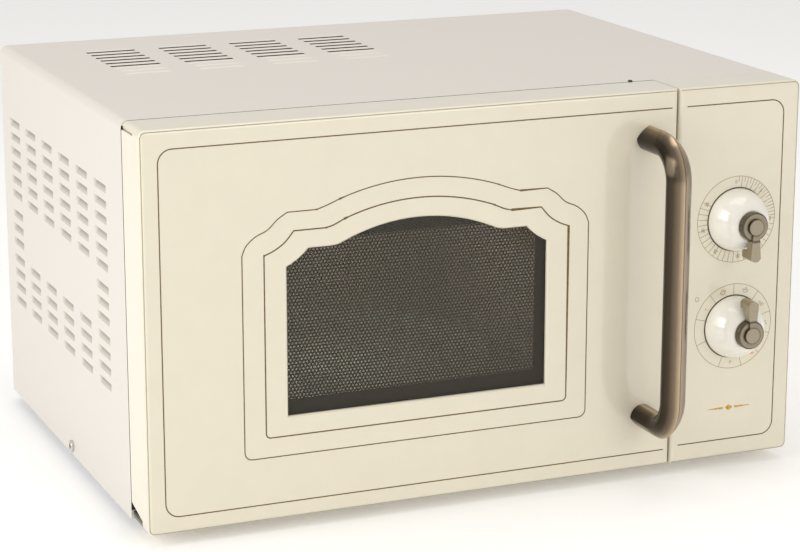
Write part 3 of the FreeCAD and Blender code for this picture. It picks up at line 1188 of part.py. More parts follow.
make_outer_case()
make_front_frame()
make_rear_panel()
make_base_plate()
make_feet()
make_screws("rear_screws", [(x, "back", z) for x, z in REAR_SCREWS], (0, -1, 0))
make_screws("side_screw_left", [("left",) + SIDE_SCREW], (1, 0, 0))
make_screws("side_screw_right", [("right",) + SIDE_SCREW], (-1, 0, 0))
make_screws("foot_screws", [(x, y, "foot_pad") for x, y in FOOT_SPOTS], (0, 0, 1))
make_cord_bushing()
make_cavity()
make_waveguide()
block("waveguide_cover", "cavity_right - mica_thick", "cavity_right", "guide_front + mica_inset",
      "guide_front + mica_inset + mica_length", "guide_floor + mica_inset", "guide_floor + guide_height - mica_inset")
make_magnetron()
make_transformer()
make_capacitor()
make_fan()
make_small_electrics()
make_control_panel()
make_dial("timer", "timer_z", "timer_size", -1)
make_dial("power", "power_z", "power_size", 1)
make_door_shell()
make_window_pane()
make_door_frame()
make_door_screen()
make_choke_cover()
make_hinges()
make_handle()
make_screws("handle_screws", [(x, "inner_face", z) for x, z in HANDLE_SCREWS], (0, -1, 0))
make_latch()
make_turntable()

# ---------------------------------------------------------------- checks and export
doc.recompute()
pieces = [item for item in doc.Objects if item.TypeId in ("PartDesign::Body", "Part::Box", "Part::Feature")]
failed = [item.Name for item in doc.Objects if "Invalid" in item.State or "Error" in item.State]
if failed:
    raise RuntimeError("these did not build: " + ", ".join(failed))
for item in doc.Objects:
    if item.TypeId == "PartDesign::Pocket":
        removed = item.BaseFeature.Shape.Volume - item.Shape.Volume
        if removed <= 0:
            raise RuntimeError("%s cuts nothing" % item.Name)
for piece in pieces:
    if piece.Shape.isNull() or not piece.Shape.isValid() or not piece.Shape.Solids:
        raise RuntimeError("%s has no valid solid" % piece.Label)
    piece.Shape.exportStep("parts/%s.step" % piece.Label)
print("%d pieces written" % len(pieces))
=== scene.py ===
# %% [markdown]
# # A microwave oven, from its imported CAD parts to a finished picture
#
# The engineering model already holds the door, the case, the dials and everything that moves.
# This lesson adds what engineering leaves out: paint, plating, printed scales, the pressed
# louvres and the punched screen behind the window. Each step says what the thing is on a real
# oven, how it could be made in Blender, and why it is made the way it is here.
#
# We begin by loading the parts as a fixed frame. Lengths are metres, X runs to the right,
# Z runs up and the oven faces -Y.

# %% Load the frame
import json
import math

import bmesh
import bpy
from mathutils import Matrix, Vector


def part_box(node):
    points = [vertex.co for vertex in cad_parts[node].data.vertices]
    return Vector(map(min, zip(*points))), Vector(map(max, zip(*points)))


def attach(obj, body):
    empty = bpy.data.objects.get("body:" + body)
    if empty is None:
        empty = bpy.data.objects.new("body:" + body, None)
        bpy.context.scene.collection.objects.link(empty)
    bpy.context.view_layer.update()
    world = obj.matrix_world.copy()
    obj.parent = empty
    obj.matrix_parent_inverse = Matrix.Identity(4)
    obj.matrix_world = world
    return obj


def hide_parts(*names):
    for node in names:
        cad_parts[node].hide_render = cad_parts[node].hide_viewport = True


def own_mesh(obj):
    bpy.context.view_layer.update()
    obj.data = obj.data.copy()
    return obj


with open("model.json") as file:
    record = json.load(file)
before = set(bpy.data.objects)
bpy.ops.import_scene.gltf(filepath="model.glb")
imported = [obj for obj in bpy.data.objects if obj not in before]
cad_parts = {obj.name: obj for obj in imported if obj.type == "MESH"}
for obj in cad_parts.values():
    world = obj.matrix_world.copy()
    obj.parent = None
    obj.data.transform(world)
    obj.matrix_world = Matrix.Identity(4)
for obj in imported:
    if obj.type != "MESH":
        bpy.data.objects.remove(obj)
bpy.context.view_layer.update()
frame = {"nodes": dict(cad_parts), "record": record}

MM = 0.001

# %% [markdown]
# Almost every position below follows from the boxes of a few parts, so we read them once: the
# door moulding and the control panel give the front face, the case gives the sides and the top.

# %% Reference places
door_low, door_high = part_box("door_shell")
panel_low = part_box("control_panel")[0]
case_low, case_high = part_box("outer_case")
FACE_Y = door_low[1]
DOOR_LEFT = door_low[0]
BOTTOM = case_low[2]
CASE_FRONT = case_low[1]
CASE_BACK = case_high[1]


def on_face(from_left, from_bottom):
    """A spot on the front face, in mm from the case's left end and from its bottom."""
    return Vector((DOOR_LEFT + from_left * MM, FACE_Y, BOTTOM + from_bottom * MM))


print("front face at y =", round(FACE_Y, 4))

# %% [markdown]
# ## Camera, floor and light
#
# The view is from the left and a little above, with a long lens, as a shop catalogue shows small
# appliances. The long lens lets upright edges lean in only a little. We aim with a direction
# instead of a target, so the framing doesn't move if a part grows.

# %% Camera
CAMERA_PLACE = Vector((-0.6411, -1.5424, 0.5528))
CAMERA_AZIMUTH = math.radians(22.63)
CAMERA_PITCH = math.radians(14.64)
CAMERA_LENS = 112.8
SENSOR_WIDTH = 36


def new_object(name, data):
    """An object in the scene, made from camera, light or mesh data."""
    made = bpy.data.objects.new(name, data)
    bpy.context.scene.collection.objects.link(made)
    return made


camera_data = bpy.data.cameras.new("catalogue_camera")
camera_data.lens = CAMERA_LENS
camera_data.sensor_width = SENSOR_WIDTH
camera = new_object("catalogue_camera", camera_data)
aim = Vector((math.sin(CAMERA_AZIMUTH) * math.cos(CAMERA_PITCH),
              math.cos(CAMERA_AZIMUTH) * math.cos(CAMERA_PITCH), -math.sin(CAMERA_PITCH)))
camera.location = CAMERA_PLACE
camera.rotation_euler = aim.to_track_quat("-Z", "Y").to_euler()
bpy.context.scene.camera = camera
bpy.context.scene.view_settings.view_transform = "Standard"
print("camera looks along", [round(part, 3) for part in aim])

# %% [markdown]
# Glossy ivory plastic shows its surroundings more than its own colour, so the studio is a white
# room: a bright world and a pale floor that glows faintly, so that it stays white. The Standard
# view transform keeps white white, which a catalogue picture wants.

# %% Floor and world
FLOOR_HALF = 6.0


def shader(material):
    """The node tree of a material and its Principled shader."""
    material.use_nodes = True
    tree = material.node_tree
    return tree, next(node for node in tree.nodes if node.type == "BSDF_PRINCIPLED")


floor_material = bpy.data.materials.new("studio_floor")
floor_shader = shader(floor_material)[1]
floor_shader.inputs["Base Color"].default_value = (0.93, 0.925, 0.915, 1)
floor_shader.inputs["Emission Color"].default_value = (1, 0.995, 0.985, 1)
floor_shader.inputs["Emission Strength"].default_value = 0.16
floor_shader.inputs["Roughness"].default_value = 0.65
floor_corners = [(-FLOOR_HALF, -FLOOR_HALF, 0), (FLOOR_HALF, -FLOOR_HALF, 0),
                 (FLOOR_HALF, FLOOR_HALF, 0), (-FLOOR_HALF, FLOOR_HALF, 0)]
floor_mesh = bpy.data.meshes.new("studio_floor")
floor_mesh.from_pydata(floor_corners, [], [(0, 1, 2, 3)])
floor_mesh.materials.append(floor_material)
floor = new_object("studio_floor", floor_mesh)

world = bpy.data.worlds.new("white_room")
bpy.context.scene.world = world
world.use_nodes = True
background = world.node_tree.nodes["Background"]
background.inputs["Color"].default_value = (1.0, 0.99, 0.975, 1)
background.inputs["Strength"].default_value = 0.62
print("floor", 2 * FLOOR_HALF, "m wide")

# %% [markdown]
# Three large soft lights shape the oven. One on the left whitens the door's edge, one above
# draws the top, and one in front fills the face. A dim lamp in the cavity stands in for the
# oven's own, so that the screen's holes read against the dark window.

# %% Lights
def soft_light(name, place, target, width, height, watts, colour=(1, 1, 1)):
    """A rectangular studio light at a place, facing a target."""
    data = bpy.data.lights.new(name, "AREA")
    data.shape = "RECTANGLE"
    data.size = width
    data.size_y = height
    data.energy = watts
    data.color = colour
    light = new_object(name, data)
    light.location = place
    light.rotation_euler = (Vector(target) - Vector(place)).to_track_quat("-Z", "Y").to_euler()
    return light


soft_light("left_light", (-1.6, -0.5, 0.85), (-0.2, -0.05, 0.13), 0.9, 1.1, 13)
soft_light("top_light", (0.1, 0.1, 2.1), (0, 0, 0.2), 1.6, 1.4, 11, (1, 0.965, 0.93))
soft_light("front_light", (0.7, -2.2, 1.1), (0, 0, 0.13), 1.0, 1.2, 9, (1, 0.985, 0.955))

cavity_low, cavity_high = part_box("cavity")
cavity_lamp_data = bpy.data.lights.new("cavity_lamp", "POINT")
cavity_lamp_data.energy = 0.62
cavity_lamp_data.shadow_soft_size = 0.04
cavity_lamp_data.color = (1, 0.86, 0.72)
cavity_lamp = new_object("cavity_lamp", cavity_lamp_data)
cavity_lamp.location = [(low + high) / 2 for low, high in zip(cavity_low, cavity_high)]
cavity_lamp.visible_camera = False
print("lights:", [light.name for light in bpy.data.lights])

# %% [markdown]
# ## Materials
#
# Every finish starts from the Principled shader. What makes it look real is small: a speckle in
# the colour, an uneven gloss, a bump a few hundredths of a millimetre deep. We make one helper
# that adds those three from noise in Object coordinates, so the grain keeps its real size on
# every part, and then each finish is a few lines.

# %% Helper for finishes
NOISE_LOW, NOISE_HIGH = 0.3, 0.7


def wired(tree, kind, inputs=(), **properties):
    """A node with its properties set, and each input given a value or linked from a socket."""
    node = tree.nodes.new(kind)
    for name, value in properties.items():
        setattr(node, name, value)
    for key, value in dict(inputs).items():
        if isinstance(value, bpy.types.NodeSocket):
            tree.links.new(value, node.inputs[key])
        else:
            node.inputs[key].default_value = value
    return node


def finish_material(name, colour, roughness, metallic=0.0, grain=400.0, stretch=(1, 1, 1), tint=0.04,
                    gloss_spread=0.05, bump=0.1, bump_depth=0.0001, coat=0.0, coat_roughness=0.05):
    """A Principled finish with noise in its colour, its gloss and its bump.

    grain is the noise's cells per metre, stretch scales it along the axes, tint is how far the
    colour wanders, gloss_spread how far the roughness does.
    """
    material = bpy.data.materials.new(name)
    tree, principled = shader(material)
    principled.inputs["Metallic"].default_value = metallic
    principled.inputs["Coat Weight"].default_value = coat
    principled.inputs["Coat Roughness"].default_value = coat_roughness
    where = wired(tree, "ShaderNodeTexCoord").outputs["Object"]
    spot = wired(tree, "ShaderNodeMapping", {"Vector": where, "Scale": stretch}).outputs["Vector"]
    noise = wired(tree, "ShaderNodeTexNoise", {"Vector": spot, "Scale": grain, "Detail": 3.0,
                                               "Roughness": 0.55}).outputs["Fac"]
    ramp = wired(tree, "ShaderNodeValToRGB", {"Fac": noise})
    for stop, place, level in zip(ramp.color_ramp.elements, (NOISE_LOW, NOISE_HIGH), (1 - tint, 1 + tint)):
        stop.position = place
        stop.color = (*[min(max(channel * level, 0), 1) for channel in colour], 1)
    gloss = wired(tree, "ShaderNodeMapRange", {"Value": noise, "From Min": NOISE_LOW, "From Max": NOISE_HIGH,
                                               "To Min": max(roughness - gloss_spread, 0.01),
                                               "To Max": roughness + gloss_spread})
    relief = wired(tree, "ShaderNodeBump", {"Height": noise, "Strength": bump, "Distance": bump_depth})
    tree.links.new(ramp.outputs["Color"], principled.inputs["Base Color"])
    tree.links.new(gloss.outputs["Result"], principled.inputs["Roughness"])
    tree.links.new(relief.outputs["Normal"], principled.inputs["Normal"])
    return material


print("finish helpers ready")

# %% [markdown]
# The case is powder-coated steel: off-white, satin, with an orange-peel skin of about a
# millimetre. The door and panel are moulded plastic under a clear gloss. The dome of each dial
# is the same ivory with a pearl sheen. The handle and pointers are plated an antique bronze.

# %% Outside finishes
case_paint = finish_material("case_paint", (0.70, 0.655, 0.60), 0.38, grain=900, tint=0.012, bump=0.18,
                             bump_depth=0.00008)
ivory_gloss = finish_material("ivory_gloss", (0.76, 0.70, 0.56), 0.14, grain=60, tint=0.012, gloss_spread=0.03,
                              bump=0.02, bump_depth=0.0002, coat=0.6, coat_roughness=0.04)
pearl = finish_material("pearl", (0.88, 0.85, 0.76), 0.2, grain=90, tint=0.02, bump=0.02, coat=1.0,
                        coat_roughness=0.03)
bronze = finish_material("bronze", (0.21, 0.165, 0.115), 0.2, metallic=1.0, grain=900, stretch=(1, 1, 0.2),
                         tint=0.06, gloss_spread=0.04, bump=0.06, bump_depth=0.00002)
bronze_caps = {node: finish_material("bronze_" + node, (0.33, 0.29, 0.22), 0.36, metallic=1.0, grain=1800,
                                     tint=0.2, gloss_spread=0.08, bump=0.25, bump_depth=0.00004)
               for node in ("timer_pointer", "power_pointer")}
gold_print = finish_material("gold_print", (0.15, 0.095, 0.022), 0.35, metallic=0.3, grain=500, tint=0.3,
                             bump=0.05)
scale_print = finish_material("scale_print", (0.27, 0.20, 0.11), 0.5, grain=800, tint=0.15, bump=0.02)
orange_print = finish_material("orange_print", (0.75, 0.22, 0.05), 0.5, grain=800, tint=0.15, bump=0.02)
print("outside finishes:", case_paint.name, ivory_gloss.name, bronze.name)

# %% [markdown]
# Some colours below change over a part as painted light and shade: a painted highlight along the
# handle's ridge, and painted shade at the pointers' steps, in the hinge notch and deep in the louvres.
# Each such change depends on one distance, so the helpers measure it in Object coordinates and
# multiply the colour by a grey ramp of it.

# %% Measured tones
WARM_GREY = (1, 0.985, 0.96)


def centred_place(tree, middle):
    """Object coordinates counted from a middle, as a vector socket."""
    where = wired(tree, "ShaderNodeTexCoord").outputs["Object"]
    away = [-part for part in middle]
    return wired(tree, "ShaderNodeMapping", {"Vector": where, "Location": away}).outputs["Vector"]


def tone_by(material, measure, low, high, ramp_stops):
    """Multiply a finish by a grey ramp of a measured socket, from low to high."""
    tree, principled = shader(material)
    spread = wired(tree, "ShaderNodeMapRange", {"Value": measure, "From Min": low, "From Max": high})
    ramp = wired(tree, "ShaderNodeValToRGB", {"Fac": spread.outputs["Result"]})
    stops = ramp.color_ramp.elements
    while len(stops) < len(ramp_stops):
        stops.new(0.5)
    for stop, (position, level) in zip(stops, ramp_stops):
        stop.position = position
        stop.color = (*[level * part for part in WARM_GREY], 1)
    # A Mix node holds sockets for every data type, and only the enabled ones count.
    mix = wired(tree, "ShaderNodeMix", data_type="RGBA", blend_type="MULTIPLY")
    in_use = {socket.name: socket for socket in mix.inputs if socket.enabled}
    in_use["Factor"].default_value = 1.0
    tree.links.new(principled.inputs["Base Color"].links[0].from_socket, in_use["A"])
    tree.links.new(ramp.outputs["Color"], in_use["B"])
    result = next(socket for socket in mix.outputs if socket.enabled)
    tree.links.new(result, principled.inputs["Base Color"])


def from_plane(tree, axis, middle):
    """Signed distance from a plane square to an axis."""
    place = centred_place(tree, [middle if axis == name else 0 for name in "XYZ"])
    return wired(tree, "ShaderNodeSeparateXYZ", {"Vector": place}).outputs[axis]


def from_dial_axis(tree, centre_x, centre_z):
    """Distance from a dial's axis, which runs along Y."""
    flat = wired(tree, "ShaderNodeVectorMath", {0: centred_place(tree, (centre_x, 0, centre_z)), 1: (1, 0, 1)},
                 operation="MULTIPLY")
    return wired(tree, "ShaderNodeVectorMath", {0: flat.outputs["Vector"]}, operation="LENGTH").outputs["Value"]


print("measured tones ready")

# %% [markdown]
# The plating's tone over a part is painted light and shade. The handle gets painted shade on its
# flanks and a painted highlight along its ridge, by the distance from its ridge. A pointer's cap gets
# painted shade in rings at its hub's step and at its rim, by the distance from the dial's axis. The
# hinge arms are black below, where they show in the notch, as painted shade for the notch's dark
# inside, and ivory above.

# %% Painted highlight and shade on the plating and the hinge arms
# The handle's stops are painted light: dark flanks, a painted highlight at the ridge, a thin dark line beside it
# and a second bright band.
HANDLE_STOPS = [(0.0, 0.18), (0.14, 0.28), (0.33, 0.95), (0.485, 2.5), (0.51, 0.35), (0.56, 1.9), (0.8, 1.0),
                (1.0, 0.25)]
# The caps' stops paint shade: dark rings at the hub's step and at the cap's rim.
CAP_STOPS = [(0.0, 1.1), (0.40, 1.1), (0.45, 0.3), (0.50, 0.85), (0.68, 1.0), (0.76, 0.4), (0.82, 0.4),
             (0.88, 1.15)]
CAP_REACH = 12 * MM
HINGE_BLACK_TOP, HINGE_IVORY_FOOT = 0.12, 0.14

handle_low, handle_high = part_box("handle")
handle_middle = (handle_low[0] + handle_high[0]) / 2
handle_half = (handle_high[0] - handle_low[0]) / 2
# Painted highlight and shade across the handle, measured from its ridge.
tone_by(bronze, from_plane(bronze.node_tree, "X", handle_middle), -handle_half, handle_half, HANDLE_STOPS)
# Painted shade in rings on each pointer's cap, by the distance from the dial's axis.
for node, finish in bronze_caps.items():
    dome_low, dome_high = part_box(node.replace("pointer", "dome"))
    measure = from_dial_axis(finish.node_tree, (dome_low[0] + dome_high[0]) / 2, (dome_low[2] + dome_high[2]) / 2)
    tone_by(finish, measure, 0, CAP_REACH, CAP_STOPS)
# Ivory paint above; the lower arm's black is painted shade for the dark inside of the notch.
hinge_colour_and_notch_shade = finish_material("hinge_paint_notch_shade", (0.76, 0.70, 0.56), 0.4, grain=1200, tint=0.05, bump=0.1)
tone_by(hinge_colour_and_notch_shade, from_plane(hinge_colour_and_notch_shade.node_tree, "Z", 0), HINGE_BLACK_TOP, HINGE_IVORY_FOOT,
        [(0.0, 0.02), (1.0, 1.0)])
print("handle ridge at x =", round(handle_middle, 4))

# %% [markdown]
# Inside and underneath are the working finishes: zinc-coated sheet with its spangle, grey
# enamel in the cavity, moulded plastics, varnished copper, mica and rubber.

# %% Working finishes
zinc = finish_material("zinc_sheet", (0.56, 0.57, 0.58), 0.34, metallic=1.0, grain=120, tint=0.16,
                       gloss_spread=0.12, bump=0.08)
screw_steel = finish_material("screw_steel", (0.62, 0.61, 0.58), 0.25, metallic=1.0, grain=1500, tint=0.1,
                              bump=0.1)
enamel = finish_material("cavity_enamel", (0.62, 0.60, 0.56), 0.3, grain=1600, tint=0.08, bump=0.05)
black_plastic = finish_material("black_plastic", (0.018, 0.018, 0.018), 0.5, grain=2500, tint=0.3, bump=0.25,
                                bump_depth=0.00005)
pale_plastic = finish_material("pale_plastic", (0.66, 0.64, 0.58), 0.45, grain=1200, tint=0.04, bump=0.12,
                               bump_depth=0.00005)
rubber = finish_material("rubber_foot", (0.02, 0.02, 0.02), 0.75, grain=2200, tint=0.35, bump=0.35)
mica = finish_material("mica_sheet", (0.42, 0.33, 0.2), 0.3, grain=300, stretch=(1, 1, 2), tint=0.25, bump=0.1,
                       coat=0.3)
aluminium = finish_material("aluminium", (0.72, 0.72, 0.74), 0.3, metallic=1.0, grain=900, stretch=(1, 0.05, 1),
                            tint=0.1, bump=0.1)
copper = finish_material("copper_winding", (0.48, 0.17, 0.06), 0.35, metallic=0.8, grain=2200,
                         stretch=(0.02, 0.02, 1), tint=0.35, bump=0.8, bump_depth=0.0003, coat=0.4)
brass = finish_material("spindle_brass", (0.55, 0.42, 0.2), 0.28, metallic=1.0, grain=1500, stretch=(1, 0.05, 1),
                        tint=0.12, bump=0.08)
screen_black = finish_material("screen_black", (0.030, 0.026, 0.019), 0.45, grain=1500, tint=0.3, bump=0.15)
print("working finishes:", zinc.name, enamel.name, copper.name, screen_black.name)

# %% [markdown]
# Glass is see-through by its alpha: the window is dark, the inner pane nearly clear, and the
# turntable plate has the green of thick glass.

# %% Glass
def glass_material(name, colour, alpha, roughness=0.02):
    """Clear or tinted glass, see-through by its alpha, with faint smears in its gloss."""
    material = finish_material(name, colour, roughness + 0.03, grain=40, tint=0.05, gloss_spread=0.02, bump=0.0)
    principled = shader(material)[1]
    principled.inputs["Alpha"].default_value = alpha
    principled.inputs["IOR"].default_value = 1.5
    material.surface_render_method = "BLENDED"
    return material


dark_glass = glass_material("dark_glass", (0.045, 0.036, 0.022), 0.42)
clear_pane = glass_material("clear_pane", (0.75, 0.8, 0.78), 0.16)
plate_glass = glass_material("plate_glass", (0.62, 0.78, 0.74), 0.3)
lamp_glass = glass_material("lamp_glass", (0.9, 0.88, 0.82), 0.6, 0.2)
print("glass:", dark_glass.name, clear_pane.name, plate_glass.name, lamp_glass.name)

# %% [markdown]
# Each CAD part keeps its shape and gets its finish here: the record names a slot for every
# node, so one table from slot to finish dresses them all, and a few nodes are singled out.

# %% Dress the CAD parts
FINISH_OF_SLOT = {
    "case_paint": case_paint, "steel_zinc": zinc, "screw_steel": screw_steel, "rubber_foot": rubber,
    "black_plastic": black_plastic, "enamel": enamel, "mica": mica, "aluminium_fin": aluminium,
    "antenna_metal": screw_steel, "copper": copper, "lamp_glass": lamp_glass, "ivory_gloss": ivory_gloss,
    "pale_plastic": pale_plastic, "dark_glass": dark_glass, "screen_black": screen_black,
    "clear_pane": clear_pane, "bronze": bronze, "pearl": pearl, "spindle_brass": brass,
    "plate_glass": plate_glass,
}
FINISH_OF_NODE = {**bronze_caps, "front_frame": case_paint, "hinge_arms": hinge_colour_and_notch_shade,
                  "door_frame": screen_black}
slot_of_node = {part["node"]: part["material_slot"] for part in frame["record"]["subparts"]}
for node, item in frame["nodes"].items():
    finish = FINISH_OF_NODE.get(node, FINISH_OF_SLOT[slot_of_node[node]])
    for slot in item.material_slots:
        slot.material = finish
print("dressed", len(frame["nodes"]), "parts")

# %% [markdown]
# ## Helpers for meshes
#
# Many pieces below are built face by face. A bmesh is a mesh that is open for editing: we add
# corners and faces, turn every face outward, and turn the result into a plain mesh.

# %% Mesh helpers
def new_piece(name, mesh, material, body):
    """Put a finished mesh in the scene and let it ride on a body."""
    piece = new_object(name, mesh)
    if material is not None:
        mesh.materials.clear()
        mesh.materials.append(material)
    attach(piece, body)
    return piece


def closed_mesh(target, name):
    """A plain mesh from a bmesh, with every face turned outward."""
    bmesh.ops.recalc_face_normals(target, faces=target.faces)
    return plain_mesh(target, name)


def plain_mesh(target, name):
    """A plain mesh from a bmesh, which is freed."""
    mesh = bpy.data.meshes.new(name)
    target.to_mesh(mesh)
    target.free()
    return mesh


def bridge(target, here, following):
    """A band of faces between two rings of corners."""
    count = len(here)
    for index in range(count):
        after = (index + 1) % count
        target.faces.new((here[index], here[after], following[after], following[index]))


print("mesh helpers ready")

# %% [markdown]
# The gold lines and the dial scales are printed ink. A texture could paint them, but we use no
# images, and a line this thin needs a crisp edge at any distance. So each line is a flat ribbon,
# a few hundredths of a millimetre proud of the plastic: a closed strip with mitred corners.

# %% Ribbon maker
PRINT_HEIGHT = 0.06 * MM
PRINT_SINK = 0.04 * MM
MITRE_LIMIT = 0.5


def ribbon(target, line, width, closed=False):
    """Add a flat printed line to a bmesh. The line's points lie on the front face."""
    count = len(line)
    rings = []
    for index, point in enumerate(line):
        before = line[(index - 1) % count] if closed or index > 0 else None
        after = line[(index + 1) % count] if closed or index < count - 1 else None
        towards = [(other - point).normalized() * sign for other, sign in ((before, -1), (after, 1)) if other]
        along = sum(towards, Vector()).normalized()
        across = Vector((-along.z, 0, along.x))
        square = Vector((-towards[0].z, 0, towards[0].x))
        reach = width / 2 / max(across.dot(square), MITRE_LIMIT)
        corners = ((reach, -PRINT_HEIGHT), (-reach, -PRINT_HEIGHT), (-reach, PRINT_SINK), (reach, PRINT_SINK))
        rings.append([target.verts.new(point + across * side + Vector((0, depth, 0))) for side, depth in corners])
    for index in range(count if closed else count - 1):
        bridge(target, rings[index], rings[(index + 1) % count])
    if not closed:
        target.faces.new(rings[0][::-1])
        target.faces.new(rings[-1])


def printed(name, lines, material, body):
    """A piece made of printed lines: each is (points, width in mm, closed)."""
    target = bmesh.new()
    for points, width, closed in lines:
        ribbon(target, points, width * MM, closed)
    return new_piece(name, closed_mesh(target, name), material, body)


def arc(centre_a, centre_b, radius, start, end, steps=12):
    """Points of an arc on the front face, in mm and degrees, from the right and anticlockwise."""
    angles = [math.radians(start + (end - start) * step / steps) for step in range(steps + 1)]
    return [(centre_a + radius * math.cos(angle), centre_b + radius * math.sin(angle)) for angle in angles]


def faced(points):
    """Spots on the front face for a list of (from left, from bottom) pairs in mm."""
    return [on_face(*point) for point in points]


print("ribbon maker ready")

# %% [markdown]
# ## Gold lines on the door and the panel
#
# Three lines frame the door. The outer one is a long bracket, open towards the seam, that the
# panel closes with its own bracket.

# %% Bracket lines
ARC_STEPS = 10


def bracket(left, bottom, right, top, radius, opening):
    """A rectangle with two round corners, open on the right or the left."""
    low = arc(left + radius, bottom + radius, radius, 270, 180, ARC_STEPS)
    high = arc(left + radius, top - radius, radius, 180, 90, ARC_STEPS)
    points = [(right, bottom)] + low + high + [(right, top)]
    if opening == "left":
        points = [(left + right - a, b) for a, b in points]
    return points


door_bracket = printed("door_outer_line", [(faced(bracket(11.5, 11, 357, 242, 9, "right")), 0.75, False)],
                       gold_print, "door")
panel_bracket = printed("panel_outer_line", [(faced(bracket(368, 12.5, 440, 242, 9, "left")), 0.75, False)],
                        gold_print, "oven")
print("brackets:", len(door_bracket.data.vertices), "and", len(panel_bracket.data.vertices), "vertices")

# %% [markdown]
# The two inner lines echo the window: straight sides, a shoulder, a level step and a low arch
# that is a true circle. Each is drawn as its left half and mirrored, with the shoulder as a
# smooth curve through a few points.

# %% Arched lines
WINDOW_MIDDLE = 180.75
OUTER_SHOULDER = [(63.3, 172), (66, 178), (72, 183.3), (80, 187), (86.5, 193), (93, 197)]
OUTER_STEP = [(112, 197), (119, 199.2), (127, 202.3)]
INNER_SHOULDER = [(77.5, 171), (84, 173.6), (91, 178.2), (97, 185)]
INNER_STEP = [(118, 185), (123, 186.3), (130, 189.5)]
OUTER_PEAK, INNER_PEAK = 211.4, 198.7


def arch(spring, spring_height, peak, steps=16):
    """The left half of the low arch, from its foot to its peak."""
    rise = peak - spring_height
    half = WINDOW_MIDDLE - spring
    radius = (half * half + rise * rise) / (2 * rise)
    spread = math.degrees(math.asin(half / radius))
    return arc(WINDOW_MIDDLE, peak - radius, radius, 90 + spread, 90, steps)


def smooth(points, steps=6):
    """A Catmull-Rom curve through a few points."""
    padded = [points[0]] + points + [points[-1]]
    result = []
    for index in range(1, len(padded) - 2):
        p0, p1, p2, p3 = [Vector(point) for point in padded[index - 1:index + 3]]
        for step in range(steps):
            u = step / steps
            result.append(tuple(0.5 * (2 * p1 + (p2 - p0) * u + (2 * p0 - 5 * p1 + 4 * p2 - p3) * u * u
                                       + (3 * p1 - p0 - 3 * p2 + p3) * u ** 3)))
    return result + [tuple(points[-1])]


def mirrored(half):
    """A closed outline from its left half, which runs from the bottom to the peak."""
    return half + [(2 * WINDOW_MIDDLE - a, b) for a, b in reversed(half) if abs(a - WINDOW_MIDDLE) > 0.01]


outer_half = (arc(68.3, 46.5, 5, 270, 180, 6) + smooth(OUTER_SHOULDER) + [OUTER_STEP[0]]
              + smooth(OUTER_STEP) + arch(*OUTER_STEP[-1], OUTER_PEAK))
inner_half = (arc(80.5, 57.2, 3, 270, 180, 4) + [INNER_SHOULDER[0]] + smooth(INNER_SHOULDER) + [INNER_STEP[0]]
              + smooth(INNER_STEP) + arch(*INNER_STEP[-1], INNER_PEAK))
arched_lines = printed("door_arched_lines", [(faced(mirrored(outer_half)), 0.7, True),
                                             (faced(mirrored(inner_half)), 0.85, True)], gold_print, "door")
print("arched lines:", len(arched_lines.data.polygons), "faces")

# %% [markdown]
# ## The dials' printed scales
#
# Both scales are a thin ring with ticks round a dial, so they share a few helpers. Ticks are
# short ribbons; numbers are text turned into mesh, because an export keeps meshes and not fonts.

# %% Scale helpers
DIAL_A = 407.0
TIMER_B = 164.0
POWER_B = 91.0
RING_RADIUS = 29.0
TICK_INNER = 21.8
MARK_RADIUS = 25.2
LINE_WIDTH = 0.3


def polar(centre_b, angle, radius):
    """A spot round a dial: the angle is clockwise from the top, in degrees."""
    turn = math.radians(angle)
    return (DIAL_A + radius * math.sin(turn), centre_b + radius * math.cos(turn))


def tick(centre_b, angle, inner=TICK_INNER):
    """A line from an inner radius to the ring."""
    return (faced([polar(centre_b, angle, inner), polar(centre_b, angle, RING_RADIUS)]), LINE_WIDTH, False)


def ring(centre_b, radius, width=LINE_WIDTH, steps=96):
    """A closed circle round a dial."""
    return (faced([polar(centre_b, 360 * step / steps, radius) for step in range(steps)]), width, True)


def number_mesh(text, spot, size, turn):
    """Text as a flat mesh on the front face, turned clockwise by some degrees."""
    curve = bpy.data.curves.new("scale_number", "FONT")
    curve.body = text
    curve.size = size * MM
    curve.align_x = "CENTER"
    curve.align_y = "CENTER"
    curve.extrude = PRINT_HEIGHT / 2
    curve.resolution_u = 3
    holder = bpy.data.objects.new("scale_number", curve)
    mesh = bpy.data.meshes.new_from_object(holder)
    bpy.data.objects.remove(holder)
    upright = Matrix.Rotation(math.radians(turn), 4, "Y") @ Matrix.Rotation(math.radians(90), 4, "X")
    mesh.transform(Matrix.Translation(on_face(*spot) - Vector((0, PRINT_HEIGHT / 2, 0))) @ upright)
    return mesh


def join_meshes(name, meshes, material, body):
    """One piece from several finished meshes."""
    target = bmesh.new()
    for mesh in meshes:
        target.from_mesh(mesh)
        bpy.data.meshes.remove(mesh)
    return new_piece(name, plain_mesh(target, name), material, body)


print("scale helpers ready")

# %% [markdown]
# The timer runs fast over its first ten minutes, with a tick every half minute, and slower
# afterwards, with a tick every minute.

# %% The timer's scale
FINE_MINUTES, LAST_MINUTE, NUMBER_EVERY = 10, 35, 5
FIRST_ANGLE, FINE_STEP, COARSE_STEP = -2, 9.5, 8.2
NUMBER_SIZE = 3.4


def timer_angle(minutes):
    """Clockwise angle of a time on the timer, in degrees."""
    fine, coarse = min(minutes, FINE_MINUTES), max(minutes - FINE_MINUTES, 0)
    return FIRST_ANGLE + fine * FINE_STEP + coarse * COARSE_STEP


